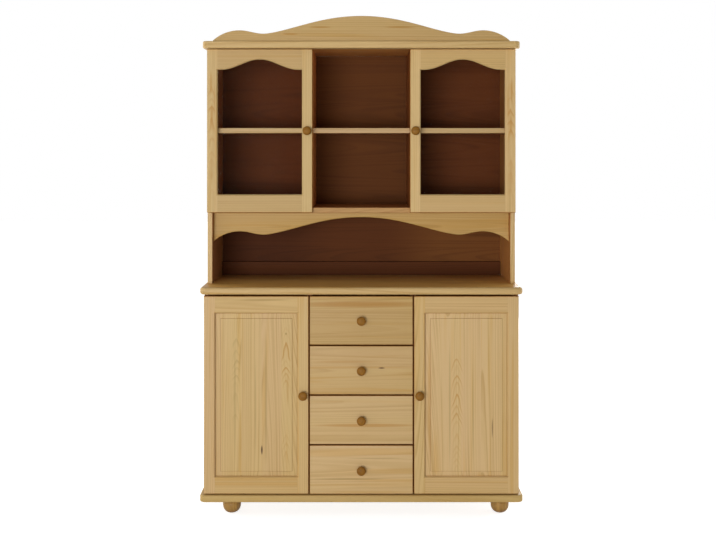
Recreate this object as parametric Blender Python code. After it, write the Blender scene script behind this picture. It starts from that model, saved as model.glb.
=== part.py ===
"""A pine dresser: a sideboard base with doors and drawers under a hutch with two glazed doors.

Metres, +Z up, the front towards -Y, and the origin on the floor under the middle of the piece.
"""

import math

import bmesh
import bpy
from mathutils import Matrix, Vector

# Clearances shared by the whole piece
SEAT_GAP = 0.0003
CUT_OVERRUN = 0.004
ARRIS = 0.0012
DADO_DEPTH = 0.006
BACK_REBATE = 0.008

# Case sizes
CASE_WIDTH = 1.176
BASE_DEPTH = 0.3735
HUTCH_DEPTH = 0.297
BASE_CASE_HEIGHT = 0.746
NICHE_HEIGHT = 0.271
CUPBOARD_HEIGHT = 0.6265
CENTRE_BAY_WIDTH = 0.371
SIDE_THICK = 0.018
PARTITION_THICK = 0.018
BACK_THICK = 0.005
HUTCH_BACK_INSET = 0.006

# Thick boards: base board, worktop and cornice
BASE_BOARD_THICK = 0.026
WORKTOP_THICK = 0.027
CORNICE_THICK = 0.027
SLAB_SIDE_OVERHANG = 0.014
WORKTOP_FRONT_OVERHANG = 0.012
CORNICE_FRONT_OVERHANG = 0.0235
SLAB_CORNER = 0.020
SLAB_NOSE = 0.010

# Shelves, bay floor and rear rail
SHELF_THICK = 0.020
SHELF_SETBACK = 0.010
HUTCH_SHELF_RISE = 0.285
BASE_SHELF_RISE = 0.350
BASE_SHELF_SETBACK = 0.060
BAY_FLOOR_THICK = 0.020
REAR_RAIL_THICK = 0.018
REAR_RAIL_HEIGHT = 0.054

# Serpentine boards: the pediment on top and the apron over the niche
SERPENTINE_THICK = 0.018
SERPENTINE_SOFTENING = 0.004
CURVE_RISE = 0.0937
HUMP_RISE = 0.0389
VALLEY_RISE = 0.026
HUMP_FROM_END = 0.1015
VALLEY_FROM_END = 0.193
SWELL_POWER = 0.7
PEDIMENT_STRIP = 0.0045
PEDIMENT_SIDE_INSET = 0.022
PEDIMENT_SETBACK = 0.030
APRON_END_DEPTH = 0.112
APRON_RECESS = 0.030

# Doors and drawer fronts
DOOR_THICK = 0.020
DOOR_BACK_GAP = 0.0005
DOOR_SIDE_INSET = 0.0005
FRONT_GAP = 0.004
BASE_FRONT_FOOT_GAP = 0.002
BASE_FRONT_HEAD_GAP = 0.0065
HUTCH_DOOR_FOOT_SETUP = 0.0024
HUTCH_DOOR_HEAD_GAP = 0.0015
HUTCH_DOOR_REVEAL = 0.0005
FRONT_SOFTENING = 0.003
SIGHT_MOULD = 0.004
BASE_STILE = 0.0415
BASE_RAIL = 0.0635
HUTCH_STILE = 0.040
HUTCH_BOTTOM_RAIL = 0.0685
HUTCH_TOP_RAIL = 0.0393
ARCH_RISE = 0.0392
ARCH_HALF_WIDTH = 0.145

# Raised and fielded panels in the base doors
PANEL_TONGUE = 0.006
PANEL_GROOVE_DEPTH = 0.008
PANEL_GROOVE_SETBACK = 0.010
PANEL_FLAT = 0.0015
PANEL_BEVEL = 0.0185
PANEL_BEVEL_RISE = 0.0045
PANEL_STEP_WIDTH = 0.0008
PANEL_STEP = 0.0015

# Glazing of the hutch doors
GLASS_THICK = 0.003
GLASS_REBATE = 0.008
GLASS_LIP = 0.010

# Drawers: boxes grooved in their sides, running on strips fixed to the partitions
DRAWER_COUNT = 4
BOX_SIDE_THICK = 0.014
BOX_END_THICK = 0.012
BOX_BOTTOM_THICK = 0.006
BOX_HEIGHT = 0.140
BOX_REAR_CLEARANCE = 0.0237
BOX_LIFT = 0.014
BOX_CLEARANCE = 0.001
RUNNER_HEIGHT = 0.017
RUNNER_PROUD = 0.008
RUNNER_SETBACK = 0.012
RUNNER_UNDER_PLAY = 0.001
RUNNER_SIDE_PLAY = 0.0005

# Turned knobs
KNOB_RADIUS = 0.017
KNOB_PROUD = 0.028
SPIGOT_RADIUS = 0.004
SPIGOT_LENGTH = 0.010
SPIGOT_END_PLAY = 0.001

# Turned bun feet
FOOT_HEIGHT = 0.054
FOOT_RADIUS = 0.034
FOOT_BELLY_HEIGHT = 0.034
FOOT_LOWER_SWEEP = 0.0362
FOOT_UPPER_SWEEP = 0.024
FOOT_LEFT_INSET = 0.114
FOOT_RIGHT_INSET = 0.080
FOOT_FRONT_INSET = 0.060
FOOT_REAR_INSET = 0.050

# Concealed hinges: a cup bored into the door and an arm screwed to the case side
HINGE_AXIS_FORWARD = 0.0145
HINGE_FROM_END = 0.090
CUP_RADIUS = 0.013
CUP_DEPTH = 0.0105
CUP_CENTRE_FROM_EDGE = 0.018
ARM_HEIGHT = 0.013
ARM_THICK = 0.0085
ARM_LENGTH = 0.058
ARM_SETBACK = 0.006
TIP_THICK = 0.006
TIP_HEIGHT = 0.011
TIP_OFFSET = 0.0035
TIP_INTO_CUP = 0.007
WING_HEIGHT = 0.046
WING_WIDTH = 0.018
WING_THICK = 0.0025
WING_FROM_FRONT = 0.037

# Facets
NOSE_SEGMENTS = 4
CORNER_SEGMENTS = 5
SOFTENING_STEPS = 2
ARC_STEPS = 7
WAVE_STEPS = 6
SWELL_STEPS = 12
ARCH_STEPS = 20
TURNED_STEPS = 20
FOOT_PROFILE_STEPS = 6
CUP_STEPS = 20
BORE_STEPS = 10
SHARP_ANGLE = math.radians(32)

# Turned outline of a knob, from its face to its foot, as shares of its radius and of how
# far it stands out
KNOB_SHARES = (
    (0.0, 1.0),
    (0.42, 0.985),
    (0.76, 0.90),
    (0.95, 0.77),
    (1.0, 0.66),
    (0.90, 0.53),
    (0.62, 0.40),
    (0.52, 0.27),
    (0.58, 0.12),
    (0.72, 0.04),
    (0.72, 0.0),
)

# Heights that the sizes above add up to
BASE_BOARD_TOP = FOOT_HEIGHT + BASE_BOARD_THICK
BASE_CASE_TOP = BASE_BOARD_TOP + BASE_CASE_HEIGHT
WORKTOP_TOP = BASE_CASE_TOP + WORKTOP_THICK
BAY_FLOOR_BOTTOM = WORKTOP_TOP + NICHE_HEIGHT
BAY_FLOOR_TOP = BAY_FLOOR_BOTTOM + BAY_FLOOR_THICK
HUTCH_TOP = BAY_FLOOR_BOTTOM + CUPBOARD_HEIGHT
CORNICE_TOP = HUTCH_TOP + CORNICE_THICK

# Planes from back to front
REAR_Y = (BASE_DEPTH + DOOR_BACK_GAP + DOOR_THICK + KNOB_PROUD) / 2
BASE_FRONT_Y = REAR_Y - BASE_DEPTH
BASE_DOOR_BACK_Y = BASE_FRONT_Y - DOOR_BACK_GAP
BASE_FACE_Y = BASE_DOOR_BACK_Y - DOOR_THICK
WORKTOP_FRONT_Y = BASE_FACE_Y - WORKTOP_FRONT_OVERHANG
HUTCH_FRONT_Y = REAR_Y - HUTCH_DEPTH
HUTCH_DOOR_BACK_Y = HUTCH_FRONT_Y - DOOR_BACK_GAP
HUTCH_FACE_Y = HUTCH_DOOR_BACK_Y - DOOR_THICK
CORNICE_FRONT_Y = HUTCH_FACE_Y - CORNICE_FRONT_OVERHANG
BASE_BACK_FRONT_Y = REAR_Y - BACK_THICK
HUTCH_BACK_REAR_Y = REAR_Y - HUTCH_BACK_INSET
HUTCH_BACK_FRONT_Y = HUTCH_BACK_REAR_Y - BACK_THICK

# Places across the width
CASE_HALF = CASE_WIDTH / 2
INNER_HALF = CASE_HALF - SIDE_THICK
SLAB_HALF = CASE_HALF + SLAB_SIDE_OVERHANG
PARTITION_NEAR = CENTRE_BAY_WIDTH / 2
PARTITION_FAR = PARTITION_NEAR + PARTITION_THICK
PARTITION_MIDDLE = (PARTITION_NEAR + PARTITION_FAR) / 2
DOOR_OUTER = CASE_HALF - DOOR_SIDE_INSET

# Front openings in height
BASE_FRONT_LOW = BASE_BOARD_TOP + BASE_FRONT_FOOT_GAP
BASE_FRONT_HIGH = BASE_CASE_TOP - BASE_FRONT_HEAD_GAP
HUTCH_DOOR_LOW = BAY_FLOOR_BOTTOM + HUTCH_DOOR_FOOT_SETUP
HUTCH_DOOR_HIGH = HUTCH_TOP - HUTCH_DOOR_HEAD_GAP
HUTCH_SHELF_LOW = BAY_FLOOR_TOP + HUTCH_SHELF_RISE
BASE_SHELF_LOW = BASE_BOARD_TOP + BASE_SHELF_RISE

SIDES = (("left", -1), ("right", 1))

# Colours as linear red, green and blue, with roughness and metallic value
FINISHES = {
    "pine": ((0.56, 0.38, 0.19), 0.45, 0.0),
    "pine_inside": ((0.60, 0.43, 0.24), 0.60, 0.0),
    "back_panel": ((0.105, 0.042, 0.018), 0.60, 0.0),
    "knob_wood": ((0.34, 0.155, 0.045), 0.40, 0.0),
    "foot_wood": ((0.43, 0.26, 0.09), 0.45, 0.0),
    "glass": ((0.85, 0.90, 0.88), 0.05, 0.0),
    "hinge_steel": ((0.62, 0.62, 0.60), 0.35, 1.0),
}


def clear_scene():
    """Remove what the open file holds."""
    for thing in list(bpy.data.objects):
        bpy.data.objects.remove(thing, do_unlink=True)


def finish(name):
    """The material of that name, made once."""
    if name in bpy.data.materials:
        return bpy.data.materials[name]
    colour, roughness, metallic = FINISHES[name]
    material = bpy.data.materials.new(name)
    material.use_nodes = True
    shader = material.node_tree.nodes["Principled BSDF"]
    shader.inputs["Base Color"].default_value = (*colour, 1.0)
    shader.inputs["Roughness"].default_value = roughness
    shader.inputs["Metallic"].default_value = metallic
    material.diffuse_color = (*colour, 1.0)
    return material


def box(x_limits, y_limits, z_limits):
    """A closed box between the given limits."""
    shape = bmesh.new()
    bmesh.ops.create_cube(shape, size=1)
    for axis, limits in enumerate((x_limits, y_limits, z_limits)):
        low, high = sorted(limits)
        for corner in shape.verts:
            corner.co[axis] = low if corner.co[axis] < 0 else high
    return shape


def soften(shape, edges, radius, segments):
    """Round the given edges over."""
    bmesh.ops.bevel(
        shape, geom=edges, offset=radius, segments=segments, affect="EDGES", profile=0.5, material=-1
    )


def ring(shape, outline, y_place):
    """A closed loop of edges through the (x, z) points of an outline."""
    corners = [shape.verts.new((x, y_place, z)) for x, z in outline]
    return [shape.edges.new((corners[index - 1], corners[index])) for index in range(len(corners))]


def loft(sections):
    """A closed solid through outlines of (x, z) points, each at its own y."""
    shape = bmesh.new()
    loops = [ring(shape, outline, y_place) for outline, y_place in sections]
    for first, second in zip(loops, loops[1:]):
        bmesh.ops.bridge_loops(shape, edges=first + second)
    for loop in (loops[0], loops[-1]):
        bmesh.ops.contextual_create(shape, geom=loop)
    bmesh.ops.recalc_face_normals(shape, faces=shape.faces)
    return shape


def grown(outline, amount):
    """The outline, which runs anticlockwise, moved outwards with mitred corners."""
    result = []
    for index, point in enumerate(outline):
        here = Vector(point)
        arriving = (here - Vector(outline[index - 1])).normalized()
        leaving = (Vector(outline[(index + 1) % len(outline)]) - here).normalized()
        normal = Vector((arriving.y, -arriving.x))
        mitre = (normal + Vector((leaving.y, -leaving.x))).normalized()
        result.append(tuple(here + mitre * (amount / mitre.dot(normal))))
    return result


def rectangle(x_limits, z_limits):
    """The corners of an upright rectangle, anticlockwise from its lower left."""
    left, right = sorted(x_limits)
    low, high = sorted(z_limits)
    return [(left, low), (right, low), (right, high), (left, high)]


def soft_fronted(outline, y_front, y_back, radius):
    """A board cut to an outline, with the edge round its front face rounded over."""
    sections = []
    for step in range(SOFTENING_STEPS + 1):
        turn = math.pi / 2 * step / SOFTENING_STEPS
        inwards = radius * (1 - math.sin(turn))
        sections.append((grown(outline, -inwards), y_front + radius * (1 - math.cos(turn))))
    sections.append((outline, y_back))
    return loft(sections)


def moulded_hole(outline, y_front, y_back):
    """The tool for a hole through a door frame, with a chamfer round its front edge."""
    wide = grown(outline, SIGHT_MOULD)
    return loft(
        [
            (wide, y_front - CUT_OVERRUN),
            (wide, y_front),
            (outline, y_front + SIGHT_MOULD),
            (outline, y_back + CUT_OVERRUN),
        ]
    )


def rod(x_place, z_place, y_limits, radius, steps):
    """A round bar along y."""
    low, high = sorted(y_limits)
    shape = bmesh.new()
    bmesh.ops.create_cone(
        shape, cap_ends=True, segments=steps, radius1=radius, radius2=radius, depth=high - low
    )
    turn = Matrix.Rotation(math.pi / 2, 4, "X")
    shift = Matrix.Translation((x_place, (low + high) / 2, z_place))
    bmesh.ops.transform(shape, matrix=shift @ turn, verts=shape.verts)
    return shape


def turned(profile, steps):
    """A solid turned about Z from (radius, height) points that start and end on the axis."""
    shape = bmesh.new()
    points = [shape.verts.new((radius, 0, height)) for radius, height in profile]
    lines = [shape.edges.new(pair) for pair in zip(points, points[1:])]
    bmesh.ops.spin(
        shape, geom=points + lines, cent=(0, 0, 0), axis=(0, 0, 1), angle=2 * math.pi,
        steps=steps, use_merge=True
    )
    bmesh.ops.remove_doubles(shape, verts=shape.verts, dist=SEAT_GAP / 10)
    bmesh.ops.recalc_face_normals(shape, faces=shape.faces)
    return shape


def helper(shape):
    """A passing object that holds a shape for a Boolean."""
    mesh = bpy.data.meshes.new("helper")
    shape.to_mesh(mesh)
    shape.free()
    thing = bpy.data.objects.new("helper", mesh)
    thing.hide_render = True
    thing.display_type = "WIRE"
    bpy.context.scene.collection.objects.link(thing)
    return thing


def carve(shape, tools, operation="DIFFERENCE"):
    """The shape after each tool is cut out of it, or joined to it, in turn."""
    blank = helper(shape)
    cutters = [helper(tool) for tool in tools]
    for cutter in cutters:
        step = blank.modifiers.new("carve", "BOOLEAN")
        step.operation = operation
        step.solver = "EXACT"
        step.object = cutter
    bpy.context.view_layer.update()
    depsgraph = bpy.context.evaluated_depsgraph_get()
    evaluated = blank.evaluated_get(depsgraph)
    result = bmesh.new()
    result.from_mesh(evaluated.to_mesh())
    evaluated.to_mesh_clear()
    for thing in [blank, *cutters]:
        mesh = thing.data
        bpy.data.objects.remove(thing, do_unlink=True)
        bpy.data.meshes.remove(mesh)
    return result


def piece(name, shape, finish_name, pivot=None):
    """A named object of one sub-part, with its origin at the middle of its box."""
    mesh = bpy.data.meshes.new(name)
    shape.to_mesh(mesh)
    shape.free()
    lows = [min(corner.co[axis] for corner in mesh.vertices) for axis in range(3)]
    highs = [max(corner.co[axis] for corner in mesh.vertices) for axis in range(3)]
    middle = (Vector(lows) + Vector(highs)) / 2
    mesh.transform(Matrix.Translation(-middle))
    mesh.shade_smooth()
    mesh.set_sharp_from_angle(angle=SHARP_ANGLE)
    mesh.materials.clear()
    mesh.materials.append(finish(finish_name))
    thing = bpy.data.objects.new(name, mesh)
    bpy.context.scene.collection.objects.link(thing)
    thing.location = middle
    if pivot is not None:
        thing.parent = pivot
        thing.location = middle - pivot.location
    return thing


def pivot_at(name, place):
    """An empty on a joint's axis, which carries the pieces that move together."""
    empty = bpy.data.objects.new(name, None)
    empty.location = place
    bpy.context.scene.collection.objects.link(empty)
    return empty


def board(x_limits, y_limits, z_limits):
    """A planed board with its sharp edges taken off."""
    shape = box(x_limits, y_limits, z_limits)
    soften(shape, list(shape.edges), ARRIS, 1)
    return shape


def slab(half_width, y_front, z_limits):
    """A thick board with rounded front corners and a rounded nose on its front and ends."""
    shape = box((-half_width, half_width), (y_front, REAR_Y), z_limits)
    middle_y = (y_front + REAR_Y) / 2
    uprights = []
    for edge in shape.edges:
        first, second = edge.verts
        if first.co.z != second.co.z and first.co.y < middle_y:
            uprights.append(edge)
    soften(shape, uprights, SLAB_CORNER, CORNER_SEGMENTS)
    rims = []
    for edge in shape.edges:
        first, second = edge.verts
        on_rear = min(first.co.y, second.co.y) > REAR_Y - SEAT_GAP
        if abs(first.co.z - second.co.z) < SEAT_GAP and not on_rear:
            rims.append(edge)
    soften(shape, rims, SLAB_NOSE, NOSE_SEGMENTS)
    return shape


def serpentine_rise(from_end, half_width):
    """Height of the serpentine curve over its end: an arc up to a hump, a dip, then a long swell."""
    if from_end <= HUMP_FROM_END:
        radius = (HUMP_FROM_END ** 2 + HUMP_RISE ** 2) / (2 * HUMP_RISE)
        across = HUMP_FROM_END - from_end
        return HUMP_RISE - radius + math.sqrt(radius ** 2 - across ** 2)
    if from_end <= VALLEY_FROM_END:
        share = (from_end - HUMP_FROM_END) / (VALLEY_FROM_END - HUMP_FROM_END)
        return VALLEY_RISE + (HUMP_RISE - VALLEY_RISE) * (1 + math.cos(math.pi * share)) / 2
    share = (from_end - VALLEY_FROM_END) / (half_width - VALLEY_FROM_END)
    swell = math.sin(math.pi / 2 * share ** SWELL_POWER) ** 2
    return VALLEY_RISE + (CURVE_RISE - VALLEY_RISE) * swell


def serpentine_points(half_width):
    """Points of the curve from the left end to the right, as (x, rise)."""
    stretches = (
        (0, HUMP_FROM_END, ARC_STEPS),
        (HUMP_FROM_END, VALLEY_FROM_END, WAVE_STEPS),
        (VALLEY_FROM_END, half_width, SWELL_STEPS),
    )
    from_ends = [0]
    for start, end, steps in stretches:
        from_ends += [start + (end - start) * (step + 1) / steps for step in range(steps)]
    left = [(place - half_width, serpentine_rise(place, half_width)) for place in from_ends]
    right = [(-x, rise) for x, rise in reversed(left[:-1])]
    return left + right


def arch_outline(x_middle, half_width, z_low, z_shoulder):
    """A door opening with level shoulders and a bell-shaped arch between them."""
    outline = rectangle((x_middle - half_width, x_middle + half_width), (z_low, z_shoulder))
    lower_left, lower_right, upper_right, upper_left = outline
    arch = []
    for step in range(ARCH_STEPS + 1):
        across = ARCH_HALF_WIDTH * (1 - 2 * step / ARCH_STEPS)
        rise = ARCH_RISE * (1 + math.cos(math.pi * across / ARCH_HALF_WIDTH)) / 2
        arch.append((x_middle + across, z_shoulder + rise))
    return [lower_left, lower_right, upper_right, *arch, upper_left]


def make_base_board():
    """The board that the base case stands on."""
    shape = slab(SLAB_HALF, WORKTOP_FRONT_Y, (FOOT_HEIGHT + SEAT_GAP, BASE_BOARD_TOP))
    piece("base_board", shape, "pine")


def make_worktop():
    """The worktop between the two cases."""
    shape = slab(SLAB_HALF, WORKTOP_FRONT_Y, (BASE_CASE_TOP, WORKTOP_TOP))
    piece("worktop", shape, "pine")


def make_cornice():
    """The board that closes the hutch at the top."""
    shape = slab(SLAB_HALF, CORNICE_FRONT_Y, (HUTCH_TOP, CORNICE_TOP))
    piece("cornice", shape, "pine")


def foot_profile():
    """Half outline of a bun foot, cut flat on the floor and under the base board."""
    profile = [(0, 0)]
    for low, high, sweep in (
        (0, FOOT_BELLY_HEIGHT, FOOT_LOWER_SWEEP),
        (FOOT_BELLY_HEIGHT, FOOT_HEIGHT, FOOT_UPPER_SWEEP),
    ):
        start = math.asin((low - FOOT_BELLY_HEIGHT) / sweep)
        end = math.asin((high - FOOT_BELLY_HEIGHT) / sweep)
        for step in range(FOOT_PROFILE_STEPS):
            turn = start + (end - start) * step / FOOT_PROFILE_STEPS
            profile.append((FOOT_RADIUS * math.cos(turn), FOOT_BELLY_HEIGHT + sweep * math.sin(turn)))
    top_turn = math.asin((FOOT_HEIGHT - FOOT_BELLY_HEIGHT) / FOOT_UPPER_SWEEP)
    profile.append((FOOT_RADIUS * math.cos(top_turn), FOOT_HEIGHT))
    profile.append((0, FOOT_HEIGHT))
    return profile


def make_feet():
    """Four turned feet under the base board."""
    insets = {"left": FOOT_LEFT_INSET, "right": FOOT_RIGHT_INSET}
    rows = (
        ("front", WORKTOP_FRONT_Y + FOOT_FRONT_INSET),
        ("rear", REAR_Y - FOOT_REAR_INSET),
    )
    for side_name, side in SIDES:
        for row_name, y_place in rows:
            shape = turned(foot_profile(), TURNED_STEPS)
            place = (side * (SLAB_HALF - insets[side_name]), y_place, 0)
            bmesh.ops.translate(shape, vec=place, verts=shape.verts)
            piece(f"foot_{row_name}_{side_name}", shape, "foot_wood")


def rebate_tool(side, y_front, z_limits):
    """The tool for the rebate that holds a back panel in a case side."""
    return box(
        (side * (INNER_HALF - CUT_OVERRUN), side * (INNER_HALF + BACK_REBATE)),
        (y_front - SEAT_GAP, REAR_Y + CUT_OVERRUN),
        (z_limits[0] - CUT_OVERRUN, z_limits[1] + CUT_OVERRUN),
    )


def dado_tool(x_limits, y_front, z_low, thick):
    """The tool for a groove that houses the end of a shelf, open at the back edge."""
    return box(x_limits, (y_front, REAR_Y + CUT_OVERRUN), (z_low - SEAT_GAP, z_low + thick + SEAT_GAP))


def make_base_sides():
    """The two sides of the base case."""
    z_limits = (BASE_BOARD_TOP + SEAT_GAP, BASE_CASE_TOP - SEAT_GAP)
    dado_front = BASE_FRONT_Y + BASE_SHELF_SETBACK - SEAT_GAP
    for side_name, side in SIDES:
        shape = board((side * INNER_HALF, side * CASE_HALF), (BASE_FRONT_Y, REAR_Y), z_limits)
        dado_span = (side * (INNER_HALF - CUT_OVERRUN), side * (INNER_HALF + DADO_DEPTH))
        tools = [
            rebate_tool(side, BASE_BACK_FRONT_Y, z_limits),
            dado_tool(dado_span, dado_front, BASE_SHELF_LOW, SHELF_THICK),
        ]
        piece(f"base_side_{side_name}", carve(shape, tools), "pine")


def drawer_low(index):
    """Lower edge of a drawer front, counted from the top drawer."""
    return BASE_FRONT_HIGH - (index + 1) * drawer_front_height() - index * FRONT_GAP


def drawer_front_height():
    """Height of one drawer front, from the opening that they share."""
    opening = BASE_FRONT_HIGH - BASE_FRONT_LOW
    return (opening - (DRAWER_COUNT - 1) * FRONT_GAP) / DRAWER_COUNT


def groove_middle(index):
    """Height of the middle of a drawer's side grooves."""
    return drawer_low(index) + BOX_LIFT + BOX_HEIGHT / 2


def make_base_partitions():
    """The upright partitions of the base, each with the strips that the drawers run on."""
    z_limits = (BASE_BOARD_TOP + SEAT_GAP, BASE_CASE_TOP - SEAT_GAP)
    y_back = BASE_BACK_FRONT_Y - SEAT_GAP
    dado_front = BASE_FRONT_Y + BASE_SHELF_SETBACK - SEAT_GAP
    for side_name, side in SIDES:
        shape = board((side * PARTITION_NEAR, side * PARTITION_FAR), (BASE_FRONT_Y, y_back), z_limits)
        strips = []
        for index in range(DRAWER_COUNT):
            top = groove_middle(index) + RUNNER_HEIGHT / 2
            strips.append(
                box(
                    (side * (PARTITION_NEAR - RUNNER_PROUD), side * PARTITION_MIDDLE),
                    (BASE_FRONT_Y + RUNNER_SETBACK, y_back - RUNNER_SETBACK),
                    (top - RUNNER_HEIGHT, top),
                )
            )
        shape = carve(shape, strips, "UNION")
        dado_span = (side * (PARTITION_FAR - DADO_DEPTH), side * (PARTITION_FAR + CUT_OVERRUN))
        shape = carve(shape, [dado_tool(dado_span, dado_front, BASE_SHELF_LOW, SHELF_THICK)])
        piece(f"base_partition_{side_name}", shape, "pine_inside")


def make_base_shelves():
    """One housed shelf in each base cupboard."""
    for side_name, side in SIDES:
        near = PARTITION_FAR - DADO_DEPTH + SEAT_GAP
        far = INNER_HALF + DADO_DEPTH - SEAT_GAP
        shape = board(
            (side * near, side * far),
            (BASE_FRONT_Y + BASE_SHELF_SETBACK, BASE_BACK_FRONT_Y - SEAT_GAP),
            (BASE_SHELF_LOW, BASE_SHELF_LOW + SHELF_THICK),
        )
        piece(f"base_shelf_{side_name}", shape, "pine_inside")


def make_base_back():
    """The back panel of the base, flush with the rear edges."""
    half = INNER_HALF + BACK_REBATE - SEAT_GAP
    shape = box(
        (-half, half), (BASE_BACK_FRONT_Y, REAR_Y), (BASE_BOARD_TOP + SEAT_GAP, BASE_CASE_TOP - SEAT_GAP)
    )
    piece("base_back", shape, "back_panel")


def spigot_bore(x_place, y_face, z_place):
    """The tool for the blind bore that takes a knob's spigot."""
    depth = SPIGOT_LENGTH + SPIGOT_END_PLAY
    return rod(
        x_place, z_place, (y_face - CUT_OVERRUN, y_face + depth), SPIGOT_RADIUS + SEAT_GAP, BORE_STEPS
    )


def make_knob(name, x_place, y_face, z_place, pivot):
    """A turned knob whose spigot sits in a bore in the face behind it."""
    profile = [(share * KNOB_RADIUS, SEAT_GAP + out * (KNOB_PROUD - SEAT_GAP)) for share, out in KNOB_SHARES]
    profile += [(SPIGOT_RADIUS, SEAT_GAP), (SPIGOT_RADIUS, -SPIGOT_LENGTH), (0, -SPIGOT_LENGTH)]
    shape = turned(profile, TURNED_STEPS)
    turn = Matrix.Rotation(math.pi / 2, 4, "X")
    shift = Matrix.Translation((x_place, y_face, z_place))
    bmesh.ops.transform(shape, matrix=shift @ turn, verts=shape.verts)
    piece(name, shape, "knob_wood", pivot)


def drawer_box(low):
    """An open box, grooved along both sides for the runner strips."""
    half = PARTITION_NEAR - BOX_CLEARANCE
    y_front = BASE_DOOR_BACK_Y + SEAT_GAP
    y_back = BASE_BACK_FRONT_Y - BOX_REAR_CLEARANCE
    bottom = low + BOX_LIFT
    shape = box((-half, half), (y_front, y_back), (bottom, bottom + BOX_HEIGHT))
    inner = half - BOX_SIDE_THICK
    tools = [
        box(
            (-inner, inner),
            (y_front + BOX_END_THICK, y_back - BOX_END_THICK),
            (bottom + BOX_BOTTOM_THICK, bottom + BOX_HEIGHT + CUT_OVERRUN),
        )
    ]
    groove_depth = RUNNER_PROUD - BOX_CLEARANCE + RUNNER_SIDE_PLAY
    runner_top = bottom + BOX_HEIGHT / 2 + RUNNER_HEIGHT / 2
    for _, side in SIDES:
        tools.append(
            box(
                (side * (half - groove_depth), side * (half + CUT_OVERRUN)),
                (y_front - CUT_OVERRUN, y_back + CUT_OVERRUN),
                (runner_top - RUNNER_HEIGHT - RUNNER_UNDER_PLAY, runner_top + SEAT_GAP),
            )
        )
    return carve(shape, tools)


def make_drawers():
    """Four drawers in the middle of the base, counted from the top."""
    half = PARTITION_MIDDLE - FRONT_GAP / 2
    height = drawer_front_height()
    for index in range(DRAWER_COUNT):
        number = index + 1
        low = drawer_low(index)
        middle = low + height / 2
        pivot = pivot_at(f"drawer_{number}_slide", (0, BASE_DOOR_BACK_Y, middle))
        outline = rectangle((-half, half), (low, low + height))
        front = soft_fronted(outline, BASE_FACE_Y, BASE_DOOR_BACK_Y, FRONT_SOFTENING)
        front = carve(front, [spigot_bore(0, BASE_FACE_Y, middle)])
        piece(f"drawer_front_{number}", front, "pine", pivot)
        piece(f"drawer_box_{number}", drawer_box(low), "pine_inside", pivot)
        make_knob(f"drawer_knob_{number}", 0, BASE_FACE_Y, middle, pivot)


def hinge_heights(low, high):
    """Where the two hinges of a door sit."""
    return (("lower", low + HINGE_FROM_END), ("upper", high - HINGE_FROM_END))


def cup_tools(side, y_back, low, high):
    """The tools for the two round recesses that take a door's hinge cups."""
    x_place = side * (DOOR_OUTER - CUP_CENTRE_FROM_EDGE)
    return [
        rod(x_place, height, (y_back - CUP_DEPTH, y_back + CUT_OVERRUN), CUP_RADIUS, CUP_STEPS)
        for _, height in hinge_heights(low, high)
    ]


def hinge_arm(side, y_case, y_door_back, height):
    """A hinge arm on its winged plate, reaching from the case side into the door's cup."""
    face = INNER_HALF - SEAT_GAP
    wing_middle = y_case + WING_FROM_FRONT
    wing = box(
        (side * face, side * (face - WING_THICK)),
        (wing_middle - WING_WIDTH / 2, wing_middle + WING_WIDTH / 2),
        (height - WING_HEIGHT / 2, height + WING_HEIGHT / 2),
    )
    ends = [edge for edge in wing.edges if abs(edge.verts[0].co.x - edge.verts[1].co.x) > WING_THICK / 2]
    soften(wing, ends, WING_WIDTH / 3, 3)
    arm = box(
        (side * face, side * (face - ARM_THICK)),
        (y_case + ARM_SETBACK, y_case + ARM_SETBACK + ARM_LENGTH),
        (height - ARM_HEIGHT / 2, height + ARM_HEIGHT / 2),
    )
    inner_edges = [
        edge for edge in arm.edges
        if max(abs(corner.co.x) for corner in edge.verts) < face - ARM_THICK / 2
    ]
    soften(arm, inner_edges, ARM_THICK / 4, 1)
    tip = box(
        (side * (face - TIP_OFFSET), side * (face - TIP_OFFSET - TIP_THICK)),
        (y_door_back - TIP_INTO_CUP, y_case + ARM_SETBACK + ARM_LENGTH / 2),
        (height - TIP_HEIGHT / 2, height + TIP_HEIGHT / 2),
    )
    return carve(wing, [arm, tip], "UNION")


def make_hinges():
    """Eight hinge arms, two for each door."""
    rows = (
        ("base", BASE_FRONT_Y, BASE_DOOR_BACK_Y, BASE_FRONT_LOW, BASE_FRONT_HIGH),
        ("hutch", HUTCH_FRONT_Y, HUTCH_DOOR_BACK_Y, HUTCH_DOOR_LOW, HUTCH_DOOR_HIGH),
    )
    for case_name, y_case, y_door_back, low, high in rows:
        for side_name, side in SIDES:
            for place_name, height in hinge_heights(low, high):
                shape = hinge_arm(side, y_case, y_door_back, height)
                piece(f"{case_name}_hinge_{side_name}_{place_name}", shape, "hinge_steel")


def fielded_panel(x_limits, y_back, z_limits):
    """A raised and fielded panel: a thin tongue all round, a sloping margin and a raised field."""
    shape = box(x_limits, (y_back - PANEL_TONGUE, y_back), z_limits)
    field = min(shape.faces, key=lambda face: face.calc_center_median().y)
    tongue_width = PANEL_GROOVE_DEPTH - SEAT_GAP + PANEL_FLAT
    for width, rise in (
        (tongue_width, 0),
        (PANEL_BEVEL, PANEL_BEVEL_RISE),
        (PANEL_STEP_WIDTH, PANEL_STEP),
    ):
        bmesh.ops.inset_region(shape, faces=[field], thickness=width, depth=rise, use_even_offset=True)
    bmesh.ops.recalc_face_normals(shape, faces=shape.faces)
    return shape


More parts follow.
